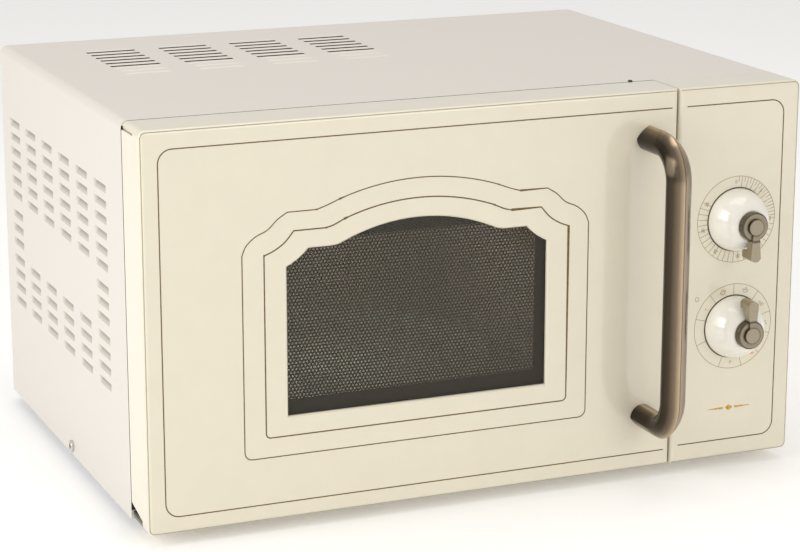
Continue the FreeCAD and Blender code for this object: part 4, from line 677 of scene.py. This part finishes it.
fine_ticks = [tick(TIMER_B, timer_angle(step / 2), MARK_RADIUS if step % 2 else TICK_INNER)
              for step in range(1, 2 * FINE_MINUTES)]
coarse_ticks = [tick(TIMER_B, timer_angle(minute)) for minute in range(FINE_MINUTES, LAST_MINUTE + 1)]
printed("timer_scale_lines", [ring(TIMER_B, RING_RADIUS)] + fine_ticks + coarse_ticks, scale_print, "oven")
timer_numbers = [number_mesh(str(minute), polar(TIMER_B, timer_angle(minute), MARK_RADIUS), NUMBER_SIZE,
                             timer_angle(minute)) for minute in range(0, LAST_MINUTE + 1, NUMBER_EVERY)]
join_meshes("timer_scale_numbers", timer_numbers, scale_print, "oven")
print("timer scale:", len(fine_ticks) + len(coarse_ticks), "ticks")

# %% [markdown]
# The power dial's ring is divided into sectors. Some carry a small sign: a bowl for warming, a
# row of bars for a power level, an orange star for thawing. A dark ring round each dome's foot is
# painted shade, for the gap where the dome meets the panel.

# %% The power dial's scale
DIVISIONS = (0, 40, 75, 105, 135, 165, 200, 248, 285, 322)
BAR_STEP = 1.1
SIGN_WIDTH = 0.35
STAR_RADIUS = 2


def sign_line(angle, points, closed=False):
    """A line of a small sign, in mm about the sign's middle, turned with its sector."""
    middle_a, middle_b = polar(POWER_B, angle, MARK_RADIUS)
    across, up = math.cos(math.radians(angle)), math.sin(math.radians(angle))
    spots = [(middle_a + a * across + b * up, middle_b - a * up + b * across) for a, b in points]
    return (faced(spots), SIGN_WIDTH, closed)


def bowl_sign(angle):
    """A bowl with steam above it."""
    steam = [[(side * 0.6, 1.2), (side * 0.6 + 0.3, 1.7), (side * 0.6, 2.2)] for side in (-1, 1)]
    bowl = sign_line(angle, arc(0, 0.6, 1.9, 180, 360, 8), closed=True)
    return [bowl] + [sign_line(angle, line) for line in steam]


def bars_sign(angle, bars):
    """A row of upright bars for a power level."""
    places = [(index, index * BAR_STEP - bars * BAR_STEP / 2 + BAR_STEP / 2) for index in range(bars)]
    return [sign_line(angle, [(place, -1.4), (place, 0.2 + 0.5 * index)]) for index, place in places]


def frost_sign(angle):
    """A six-armed star for thawing."""
    tips = [(STAR_RADIUS * math.cos(math.radians(arm)), STAR_RADIUS * math.sin(math.radians(arm)))
            for arm in (0, 60, 120)]
    return [sign_line(angle, [(-a, -b), (a, b)]) for a, b in tips]


power_lines = [ring(POWER_B, RING_RADIUS)] + [tick(POWER_B, angle) for angle in DIVISIONS]
power_lines += bowl_sign(20)
for sign_angle, bar_count in ((57, 4), (90, 3), (182, 2), (303, 1)):
    power_lines += bars_sign(sign_angle, bar_count)
power_lines += bowl_sign(341) + [(faced(arc(379.5, 112, 1.4, 0, 360, 12)[:-1]), LINE_WIDTH, True)]
printed("power_scale_lines", power_lines, scale_print, "oven")
printed("power_frost_sign", frost_sign(142), orange_print, "oven")
dome_low, dome_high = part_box("timer_dome")
dome_radius = (dome_high[0] - dome_low[0]) / 2 / MM
# A dark printed ring at each dome's foot: painted shade of the gap round the dome.
dome_foot_shade = finish_material("dome_foot_shade", (0.10, 0.075, 0.04), 0.5, grain=800, tint=0.15, bump=0.02)
dome_shade_rings = [ring(centre_b, dome_radius + 0.25, 0.9) for centre_b in (TIMER_B, POWER_B)]
printed("dome_shade_outlines", dome_shade_rings, dome_foot_shade, "oven")
print("power scale:", len(DIVISIONS), "sectors")

# %% [markdown]
# Below the dials, where a maker puts a name, the panel carries a plain ornament instead: a small
# lozenge between two tapering strokes, in the same gold as the lines.

# %% Ornament
ORNAMENT_A = 406.0
ORNAMENT_B = 34.5


def ornament_solid(points):
    """A small flat shape as a closed outline, in mm about the ornament's middle."""
    target = bmesh.new()
    spots = [on_face(ORNAMENT_A + a, ORNAMENT_B + b) for a, b in points]
    front = [target.verts.new(spot + Vector((0, -PRINT_HEIGHT, 0))) for spot in spots]
    back = [target.verts.new(spot + Vector((0, PRINT_SINK, 0))) for spot in spots]
    target.faces.new(front)
    target.faces.new(back[::-1])
    for index in range(len(points)):
        following = (index + 1) % len(points)
        target.faces.new((front[index], back[index], back[following], front[following]))
    return closed_mesh(target, "ornament_part")


lozenge = ornament_solid([(-3, 0), (0, -2), (3, 0), (0, 2)])
strokes = [ornament_solid([(side * 4.5, 0.8), (side * 16, 0.15), (side * 16, -0.15), (side * 4.5, -0.8)])
           for side in (-1, 1)]
gold_ornament = finish_material("gold_ornament", (0.55, 0.33, 0.07), 0.3, metallic=0.5, grain=500, tint=0.2,
                                bump=0.05)
join_meshes("panel_ornament", [lozenge] + strokes, gold_ornament, "oven")
print("ornament placed")

# %% [markdown]
# ## Geometry Nodes for what repeats
#
# Two things repeat by the hundred: the holes of the screen behind the window and the flaps of
# the louvres. Geometry Nodes lay them out from a few named sizes. The result is realised into a
# plain mesh, because an exporter drops instances, and the modifier is gone before the piece is
# handed over.

# %% Geometry Nodes helpers
WELD = 0.02 * MM


def new_tree(name, sizes):
    """A Geometry Nodes tree with a named float input for each size, in metres."""
    tree = bpy.data.node_groups.new(name, "GeometryNodeTree")
    tree.interface.new_socket("Geometry", in_out="INPUT", socket_type="NodeSocketGeometry")
    for label, value in sizes.items():
        socket = tree.interface.new_socket(label, in_out="INPUT", socket_type="NodeSocketFloat")
        socket.default_value = value
    tree.interface.new_socket("Geometry", in_out="OUTPUT", socket_type="NodeSocketGeometry")
    return tree, tree.nodes.new("NodeGroupInput"), tree.nodes.new("NodeGroupOutput")


def maths(tree, operation, first, second=0.0, clamp=False):
    """The result of a Math node on two numbers or sockets."""
    return wired(tree, "ShaderNodeMath", {0: first, 1: second}, operation=operation, use_clamp=clamp).outputs[0]


def joined(tree, *sources):
    """Several geometries as one."""
    node = tree.nodes.new("GeometryNodeJoinGeometry")
    for source in sources:
        tree.links.new(source, node.inputs[0])
    return node.outputs[0]


def welded(tree, geometry):
    """A geometry whose doubled corners are merged."""
    return wired(tree, "GeometryNodeMergeByDistance", {"Geometry": geometry, "Distance": WELD}).outputs[0]


def thickened(tree, sheet, thickness):
    """Turn a sheet into a closed solid: a raised copy, its walls, and the sheet turned over."""
    raised = wired(tree, "GeometryNodeExtrudeMesh", {"Individual": False, "Mesh": sheet, "Offset Scale": thickness})
    flipped = wired(tree, "GeometryNodeFlipFaces", {0: sheet})
    return welded(tree, joined(tree, raised.outputs["Mesh"], flipped.outputs[0]))


def spread_on_points(tree, result, points, instance, material, solid=None, **inputs):
    """Put an instance on every point, make it real, thicken it if asked, paint it and return it."""
    spread = wired(tree, "GeometryNodeInstanceOnPoints", {"Points": points, "Instance": instance, **inputs})
    real = wired(tree, "GeometryNodeRealizeInstances", {0: spread.outputs[0]}).outputs[0]
    if solid is not None:
        real = thickened(tree, welded(tree, real), solid)
    painted = wired(tree, "GeometryNodeSetMaterial", {0: real, "Material": material})
    tree.links.new(painted.outputs[0], result.inputs[0])


def build_from_nodes(name, tree, sizes, base_mesh, material, body):
    """Run a tree on a base mesh, keep the result as a plain mesh, and let it ride on a body."""
    holder = new_object(name + "_maker", base_mesh)
    modifier = holder.modifiers.new(name, "NODES")
    modifier.node_group = tree
    identifiers = {socket.name: socket.identifier for socket in tree.interface.items_tree
                   if socket.in_out == "INPUT"}
    for label, value in sizes.items():
        modifier[identifiers[label]] = value
    graph = bpy.context.evaluated_depsgraph_get()
    mesh = bpy.data.meshes.new_from_object(holder.evaluated_get(graph))
    holder.modifiers.clear()
    bpy.data.objects.remove(holder)
    return new_piece(name, mesh, material, body)


print("node helpers ready")

# %% [markdown]
# ### The screen
#
# The screen keeps microwaves in and lets light out: a thin black sheet punched with round holes
# in staggered rows. Each hole is the middle of a hexagonal tile, and tiles fit together like a
# honeycomb, so the tree needs one tile (a hexagon with a round hole, filled between two curves),
# a grid of points with every second row shifted, and one extrusion of the merged sheet.

# %% Punched screen
screen_low, screen_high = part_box("door_screen")
HOLE_SIZES = {"Pitch": 2.45 * MM, "Hole radius": 0.78 * MM, "Width": 178 * MM, "Height": 104 * MM,
              "Thickness": 0.5 * MM}
SCREEN_MIDDLE = 123


def screen_tree(material):
    """Hexagonal tiles with round holes, on staggered rows, as one thickened sheet."""
    tree, given, result = new_tree("punched_screen", HOLE_SIZES)
    pitch, width, height = [given.outputs[label] for label in ("Pitch", "Width", "Height")]
    row_step = maths(tree, "MULTIPLY", pitch, math.sqrt(3) / 2)
    rows = maths(tree, "DIVIDE", height, row_step)
    grid = wired(tree, "GeometryNodeMeshGrid", {"Size X": width, "Size Y": height, "Vertices Y": rows,
                                                "Vertices X": maths(tree, "DIVIDE", width, pitch)})
    index = wired(tree, "GeometryNodeInputIndex").outputs[0]
    row_count = maths(tree, "FLOOR", rows)
    column = maths(tree, "FLOOR", maths(tree, "DIVIDE", index, row_count))
    row = maths(tree, "MODULO", index, row_count)
    shift = maths(tree, "MULTIPLY", maths(tree, "MODULO", row, 2.0), 0.5)
    place = wired(tree, "ShaderNodeCombineXYZ", {
        "X": maths(tree, "MULTIPLY", maths(tree, "ADD", column, shift), pitch),
        "Y": maths(tree, "MULTIPLY", row, row_step)})
    lay = wired(tree, "GeometryNodeSetPosition", {"Geometry": grid.outputs["Mesh"], "Position": place.outputs[0]})
    edge = wired(tree, "GeometryNodeCurvePrimitiveCircle", {
        "Resolution": 6, "Radius": maths(tree, "DIVIDE", pitch, math.sqrt(3))})
    turned = wired(tree, "GeometryNodeTransform", {"Geometry": edge.outputs["Curve"],
                                                   "Rotation": (0, 0, math.radians(30))})
    hole = wired(tree, "GeometryNodeCurvePrimitiveCircle", {
        "Resolution": 8, "Radius": given.outputs["Hole radius"]})
    both = joined(tree, turned.outputs[0], hole.outputs["Curve"])
    tile = wired(tree, "GeometryNodeFillCurve", {"Curve": both})
    spread_on_points(tree, result, lay.outputs[0], tile.outputs[0], material, solid=given.outputs["Thickness"])
    return tree


empty_mesh = bpy.data.meshes.new("screen_base")
screen_piece = build_from_nodes("punched_screen", screen_tree(screen_black), HOLE_SIZES, empty_mesh, None, "door")
corner_low = Vector(map(min, *[vertex.co for vertex in screen_piece.data.vertices]))
corner_high = Vector(map(max, *[vertex.co for vertex in screen_piece.data.vertices]))
upright = Matrix.Rotation(math.radians(90), 4, "X")
middle = Vector((DOOR_LEFT + WINDOW_MIDDLE * MM, screen_low[1] + HOLE_SIZES["Thickness"] / 2,
                 BOTTOM + SCREEN_MIDDLE * MM))
sheet_middle = (corner_low + corner_high) / 2
screen_piece.data.transform(Matrix.Translation(middle) @ upright @ Matrix.Translation(-sheet_middle))
screen_size = [round(side / MM, 1) for side in corner_high - corner_low]
print("screen:", len(screen_piece.data.polygons), "faces,", screen_size, "mm")

# %% [markdown]
# The holes stop short of the sheet's edge, so a plain flat frame closes it to its full size.

# %% Screen border
def frame_mesh(name, outer, inner, front_y, back_y):
    """A flat frame between two rectangles (low a, low b, high a, high b) in metres."""
    target = bmesh.new()
    rings = []
    for depth in (front_y, back_y):
        for a0, b0, a1, b1 in (outer, inner):
            corners = ((a0, b0), (a1, b0), (a1, b1), (a0, b1))
            rings.append([target.verts.new((a, depth, b)) for a, b in corners])
    front_outer, front_inner, back_outer, back_inner = rings
    for index in range(4):
        following = (index + 1) % 4
        for first, second in ((front_outer, front_inner), (back_inner, back_outer), (back_outer, front_outer),
                              (front_inner, back_inner)):
            target.faces.new((first[index], first[following], second[following], second[index]))
    return closed_mesh(target, name)


BORDER = 1.2 * MM
half_width, half_height = HOLE_SIZES["Width"] / 2 - BORDER, HOLE_SIZES["Height"] / 2 - BORDER
hole_area = [middle.x - half_width, middle.z - half_height, middle.x + half_width, middle.z + half_height]
sheet_area = (screen_low[0], screen_low[2], screen_high[0], screen_high[2])
border_mesh = frame_mesh("screen_border", sheet_area, hole_area, screen_low[1], screen_high[1])
screen_border = new_piece("screen_border", border_mesh, screen_black, "door")
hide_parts("door_screen")
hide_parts("door_screen")
print("border round", [round(2 * half / MM) for half in (half_width, half_height)], "mm of holes")

# %% [markdown]
# ### Pressed louvres, ribs and black slot linings of painted shade
#
# A louvre is not a plain slot: the press cuts the sheet along one edge and pushes a tongue in,
# so the tongue slopes away from its lower edge and the gap above it is dark. The ribs on the top
# are pressed up instead, and a black lining, painted shade, closes the slots beside them where only
# the dark inside would show. All three are one rule, a rectangle whose middle is pushed in or out,
# with a run-in of its own at each edge. So one tree bends a small grid by that rule and puts it on
# points. Each point carries the turn that faces its wall. The tree also stores how deep each spot is
# pressed, and the louvres' colour reads it: the colour darkens the deeper the tongue is pressed, as
# painted shade inside the louvre.

# %% The pressing rule
PRESS_SIZES = {"Length": 26 * MM, "Height": 5 * MM, "Depth": 3.6 * MM, "End run": 2.2 * MM, "Low run": 5 * MM,
               "High run": 0.01 * MM, "Thickness": 0.4 * MM}


def pressed_tree(material):
    """A bent grid on every point, facing the way that the point's turn says."""
    tree, given, result = new_tree("pressed_shape", PRESS_SIZES)
    length, height, thickness = [given.outputs[label] for label in ("Length", "Height", "Thickness")]
    grid = wired(tree, "GeometryNodeMeshGrid", {"Size X": length, "Size Y": height, "Vertices X": 13,
                                                "Vertices Y": 9})
    place = wired(tree, "GeometryNodeInputPosition").outputs[0]
    split = wired(tree, "ShaderNodeSeparateXYZ", {0: place})
    half_length = maths(tree, "MULTIPLY", length, 0.5)
    half_height = maths(tree, "MULTIPLY", height, 0.5)
    from_end = maths(tree, "SUBTRACT", half_length, maths(tree, "ABSOLUTE", split.outputs["X"]))
    from_low = maths(tree, "ADD", half_height, split.outputs["Y"])
    from_high = maths(tree, "SUBTRACT", half_height, split.outputs["Y"])
    share = maths(tree, "DIVIDE", from_end, given.outputs["End run"], True)
    share = maths(tree, "MULTIPLY", share, maths(tree, "DIVIDE", from_low, given.outputs["Low run"], True))
    share = maths(tree, "MULTIPLY", share, maths(tree, "DIVIDE", from_high, given.outputs["High run"], True))
    depth = maths(tree, "ADD", maths(tree, "MULTIPLY", share, given.outputs["Depth"]), thickness)
    offset = wired(tree, "ShaderNodeCombineXYZ", {"Z": maths(tree, "MULTIPLY", depth, -1.0)})
    shade = wired(tree, "GeometryNodeStoreNamedAttribute", {"Name": "pressed", "Geometry": grid.outputs["Mesh"],
                                                            "Value": share}, data_type="FLOAT")
    bend = wired(tree, "GeometryNodeSetPosition", {"Geometry": shade.outputs["Geometry"],
                                                   "Offset": offset.outputs[0]})
    turn = wired(tree, "GeometryNodeInputNamedAttribute", {"Name": "turn"}, data_type="FLOAT_VECTOR")
    spread_on_points(tree, result, given.outputs["Geometry"], thickened(tree, bend.outputs[0], thickness), material,
                     Rotation=turn.outputs[0])
    return tree


def points_mesh(name, spots):
    """A mesh of loose points, each with a turn stored in an attribute."""
    mesh = bpy.data.meshes.new(name)
    mesh.from_pydata([spot for spot, turn in spots], [], [])
    attribute = mesh.attributes.new("turn", "FLOAT_VECTOR", "POINT")
    for index, (spot, turn) in enumerate(spots):
        attribute.data[index].vector = turn
    return mesh


def facing(outward, upward):
    """The turn whose Z axis points outward and whose Y axis points upward."""
    outward, upward = Vector(outward), Vector(upward)
    return Matrix((upward.cross(outward), upward, outward)).transposed().to_euler()


print("pressing rule ready")

# %% [markdown]
# The louvres stand in three groups on each side, counted from the rear and from the bottom. A
# group has its lowest row, its number of rows, and its columns: the middle group has only the
# first and the last.

# %% Side louvres
LOUVRE_FIRST, LOUVRE_STEP = 22, 42.8
LOUVRE_LENGTH, LOUVRE_HEIGHT, LOUVRE_PITCH = 26, 5, 10.2
LOUVRE_GROUPS = ((150.5, 6, range(6)), (115.5, 3, (0, 5)), (72.5, 4, range(6)))
SINK = 0.05 * MM
side_spots = []
for lowest, rows, columns in LOUVRE_GROUPS:
    for row in range(rows):
        for column in columns:
            along = CASE_BACK - (LOUVRE_FIRST + LOUVRE_LENGTH / 2 + column * LOUVRE_STEP) * MM
            up = BOTTOM + (lowest + row * LOUVRE_PITCH + LOUVRE_HEIGHT / 2) * MM
            for side, wall in ((-1, case_low[0]), (1, case_high[0])):
                side_spots.append(((wall - side * SINK, along, up), facing((side, 0, 0), (0, 0, 1))))
# The louvres' colour is a shaded copy of the case paint, darker the deeper it is pressed: painted shade.
louvre_painted_shade = finish_material("louvre_painted_shade", (0.66, 0.615, 0.555), 0.5, grain=900, tint=0.02, bump=0.15)
pressed = wired(louvre_painted_shade.node_tree, "ShaderNodeAttribute", attribute_name="pressed")
tone_by(louvre_painted_shade, pressed.outputs["Fac"], 0, 1,
        [(0.0, 1.05), (0.3, 0.8), (0.6, 0.5), (0.85, 0.3), (1.0, 0.18)])
louvres = build_from_nodes("side_louvres", pressed_tree(louvre_painted_shade), PRESS_SIZES,
                           points_mesh("side_spots", side_spots), None, "oven")
print("side louvres:", len(side_spots), "with", len(louvres.data.polygons), "faces")

# %% [markdown]
# Every slot in the top has a raised rib behind it. Three more rows of ribs stand further
# forward without a slot. The black linings sit in the slots as painted shade, for the dark inside
# that shows through them.

# %% Top ribs and painted shade linings
VENT_LENGTH, VENT_WIDTH, VENT_START, VENT_PITCH, VENT_ROWS = 35, 5, 183.5, 11.8, 6
VENT_FIRST, VENT_STEP, VENT_COLUMNS, BLIND_ROWS = 48, 52.3, 4, 3
RIB_WIDTH = 4.0
top_turn = facing((0, 0, 1), (0, 1, 0))
rib_spots, shade_lining_spots = [], []
for column in range(VENT_COLUMNS):
    across = case_low[0] + (VENT_FIRST + VENT_LENGTH / 2 + column * VENT_STEP) * MM
    for row in range(-BLIND_ROWS, VENT_ROWS):
        slot_back = CASE_FRONT + (VENT_START + row * VENT_PITCH + VENT_WIDTH) * MM
        rib_spots.append(((across, slot_back + RIB_WIDTH / 2 * MM, case_high[2] - SINK / 2), top_turn))
        if row >= 0:
            shade_lining_spots.append(((across, slot_back - VENT_WIDTH / 2 * MM, case_high[2] - SINK), top_turn))
RIB_SIZES = {**PRESS_SIZES, "Length": VENT_LENGTH * MM, "Height": RIB_WIDTH * MM, "Depth": -0.7 * MM,
             "End run": 3 * MM, "Low run": 1.2 * MM, "High run": 2.4 * MM}
SHADE_LINING_SIZES = {**PRESS_SIZES, "Length": VENT_LENGTH * MM, "Height": VENT_WIDTH * MM, "Depth": 3 * MM,
                "End run": 0.3 * MM, "Low run": 0.3 * MM, "High run": 0.3 * MM, "Thickness": 0.2 * MM}
build_from_nodes("top_ribs", pressed_tree(case_paint), RIB_SIZES, points_mesh("rib_spots", rib_spots), None, "oven")
# Black linings in the top slots: painted shade.
build_from_nodes("vent_shade_linings", pressed_tree(black_plastic), SHADE_LINING_SIZES,
                 points_mesh("shade_lining_spots", shade_lining_spots), None, "oven")
print("ribs:", len(rib_spots), "linings:", len(shade_lining_spots))

# %% [markdown]
# ## The dark gap behind the door and the painted reflection along the mouldings' edge
#
# Between the door and the case is a gap of about a millimetre, and a thin black strip stuck to
# the frame, painted shade for the gap, makes it a crisp dark line. The mouldings also have a fine
# darker line where their rounded edge begins: a painted reflection. Both are ribbons: the strip on
# the frame's plane, the line half a millimetre behind the face, where it lies in the rounding.

# %% Gap shade strip and edge reflection lines
def at_depth(points, depth):
    """Spots for (from left, from bottom) pairs in mm, on the plane at a depth."""
    return [Vector((spot.x, depth, spot.z)) for spot in faced(points)]


FULL_WIDTH = (case_high[0] - case_low[0]) / MM
FULL_HEIGHT = (case_high[2] - BOTTOM) / MM
STRIP_WIDTH = 3.0
STRIP_FOOT = 6
CASE_CORNER = 5

strip_in = STRIP_WIDTH / 2 + 0.05
corner = CASE_CORNER - strip_in
corner_b = FULL_HEIGHT - strip_in - corner
strip_line = ([(strip_in, STRIP_FOOT)] + arc(strip_in + corner, corner_b, corner, 180, 90, 8)
              + arc(FULL_WIDTH - strip_in - corner, corner_b, corner, 90, 0, 8)
              + [(FULL_WIDTH - strip_in, STRIP_FOOT)])
# A black strip on the frame: painted shade in the gap behind the door.
printed("gap_shade_strip", [(at_depth(strip_line, CASE_FRONT), STRIP_WIDTH, False)], black_plastic, "oven")

REFLECTION_IN = 1.25
REFLECTION_CORNER = 3.2
REFLECTION_SINK = 0.5
REFLECTION_WIDTH = 0.75
# A fine dark line along the mouldings' edge: painted reflection.
edge_reflection_line = finish_material("edge_reflection_line", (0.36, 0.34, 0.235), 0.3, grain=300, tint=0.05, bump=0.02)
seam_left = (door_high[0] - door_low[0]) / MM
seam_right = (panel_low[0] - door_low[0]) / MM
for piece_name, body, left, right, side in (
        ("door_edge_reflection", "door", REFLECTION_IN, seam_left - REFLECTION_IN, "right"),
        ("panel_edge_reflection", "oven", seam_right + REFLECTION_IN, FULL_WIDTH - REFLECTION_IN, "left")):
    outline = bracket(left, REFLECTION_IN, right, FULL_HEIGHT - REFLECTION_IN, REFLECTION_CORNER, side)
    printed(piece_name, [(at_depth(outline, FACE_Y + REFLECTION_SINK * MM), REFLECTION_WIDTH, False)], edge_reflection_line, body)
print("strip and beads round", round(FULL_WIDTH), "by", round(FULL_HEIGHT), "mm")

# %% [markdown]
# A small black stop sits on the upper edge of the frame near the seam. It is turned on a lathe:
# a profile swept round an upright axis, with both poles closed.

# %% Stop on the upper edge
LATHE_SIDES = 24


def lathe(name, profile, centre, material, body):
    """A closed turned piece from (radius, height) pairs in mm that start and end on the axis."""
    target = bmesh.new()
    turns = [2 * math.pi * index / LATHE_SIDES for index in range(LATHE_SIDES)]
    rings = []
    for radius, height in profile:
        around = turns if radius > 0 else turns[:1]
        rings.append([target.verts.new(Vector(centre) + Vector((radius * math.cos(turn), radius * math.sin(turn),
                                                                height)) * MM) for turn in around])
    for lower, upper in zip(rings, rings[1:]):
        for index in range(LATHE_SIDES):
            following = (index + 1) % LATHE_SIDES
            corners = [lower[index % len(lower)], lower[following % len(lower)],
                       upper[following % len(upper)], upper[index % len(upper)]]
            target.faces.new(list(dict.fromkeys(corners)))
    return new_piece(name, closed_mesh(target, name), material, body)


STOP_PLACE = (door_high[0] - 16 * MM, CASE_FRONT + 1.0 * MM, case_high[2])
lathe("upper_stop", [(0, -0.4), (1.6, -0.4), (1.6, 0.3), (1.2, 0.8), (0, 0.9)], STOP_PLACE, rubber, "oven")
print("stop at x =", round(STOP_PLACE[0], 3))

# %% [markdown]
# ## The latch spring
#
# When the door shuts, the latch bar lifts and squeezes a small coil spring above it. A coil is a
# round wire on a helix, so we sweep a ring of points along one and close both ends.

# %% Coil spring
COIL_TURNS, COIL_STEPS, WIRE_SIDES = 7, 18, 8
WIRE_RADIUS = 0.35 * MM


def coil(name, centre, low, high, radius, material, body):
    """A closed round wire on a helix round an upright axis, in metres."""
    target = bmesh.new()
    count = COIL_TURNS * COIL_STEPS
    section = [2 * math.pi * side / WIRE_SIDES for side in range(WIRE_SIDES)]
    rings = []
    for index in range(count + 1):
        angle = 2 * math.pi * index / COIL_STEPS
        outward = Vector((math.cos(angle), math.sin(angle), 0))
        height = low + WIRE_RADIUS + (high - low - 2 * WIRE_RADIUS) * index / count
        spot = Vector((centre[0], centre[1], height)) + outward * (radius - WIRE_RADIUS)
        rings.append([target.verts.new(spot + outward * (WIRE_RADIUS * math.cos(turn))
                                       + Vector((0, 0, WIRE_RADIUS * math.sin(turn)))) for turn in section])
    for here, following in zip(rings, rings[1:]):
        bridge(target, here, following)
    target.faces.new(rings[0])
    target.faces.new(rings[-1])
    return new_piece(name, closed_mesh(target, name), material, body)


spring_low, spring_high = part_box("latch_spring")
spring_centre = [(low + high) / 2 for low, high in zip(spring_low, spring_high)]
spring_radius = (spring_high[0] - spring_low[0]) / 2
latch_coil = coil("latch_coil", spring_centre, spring_low[2], spring_high[2], spring_radius, screw_steel, "door")
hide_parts("latch_spring")
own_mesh(latch_coil)
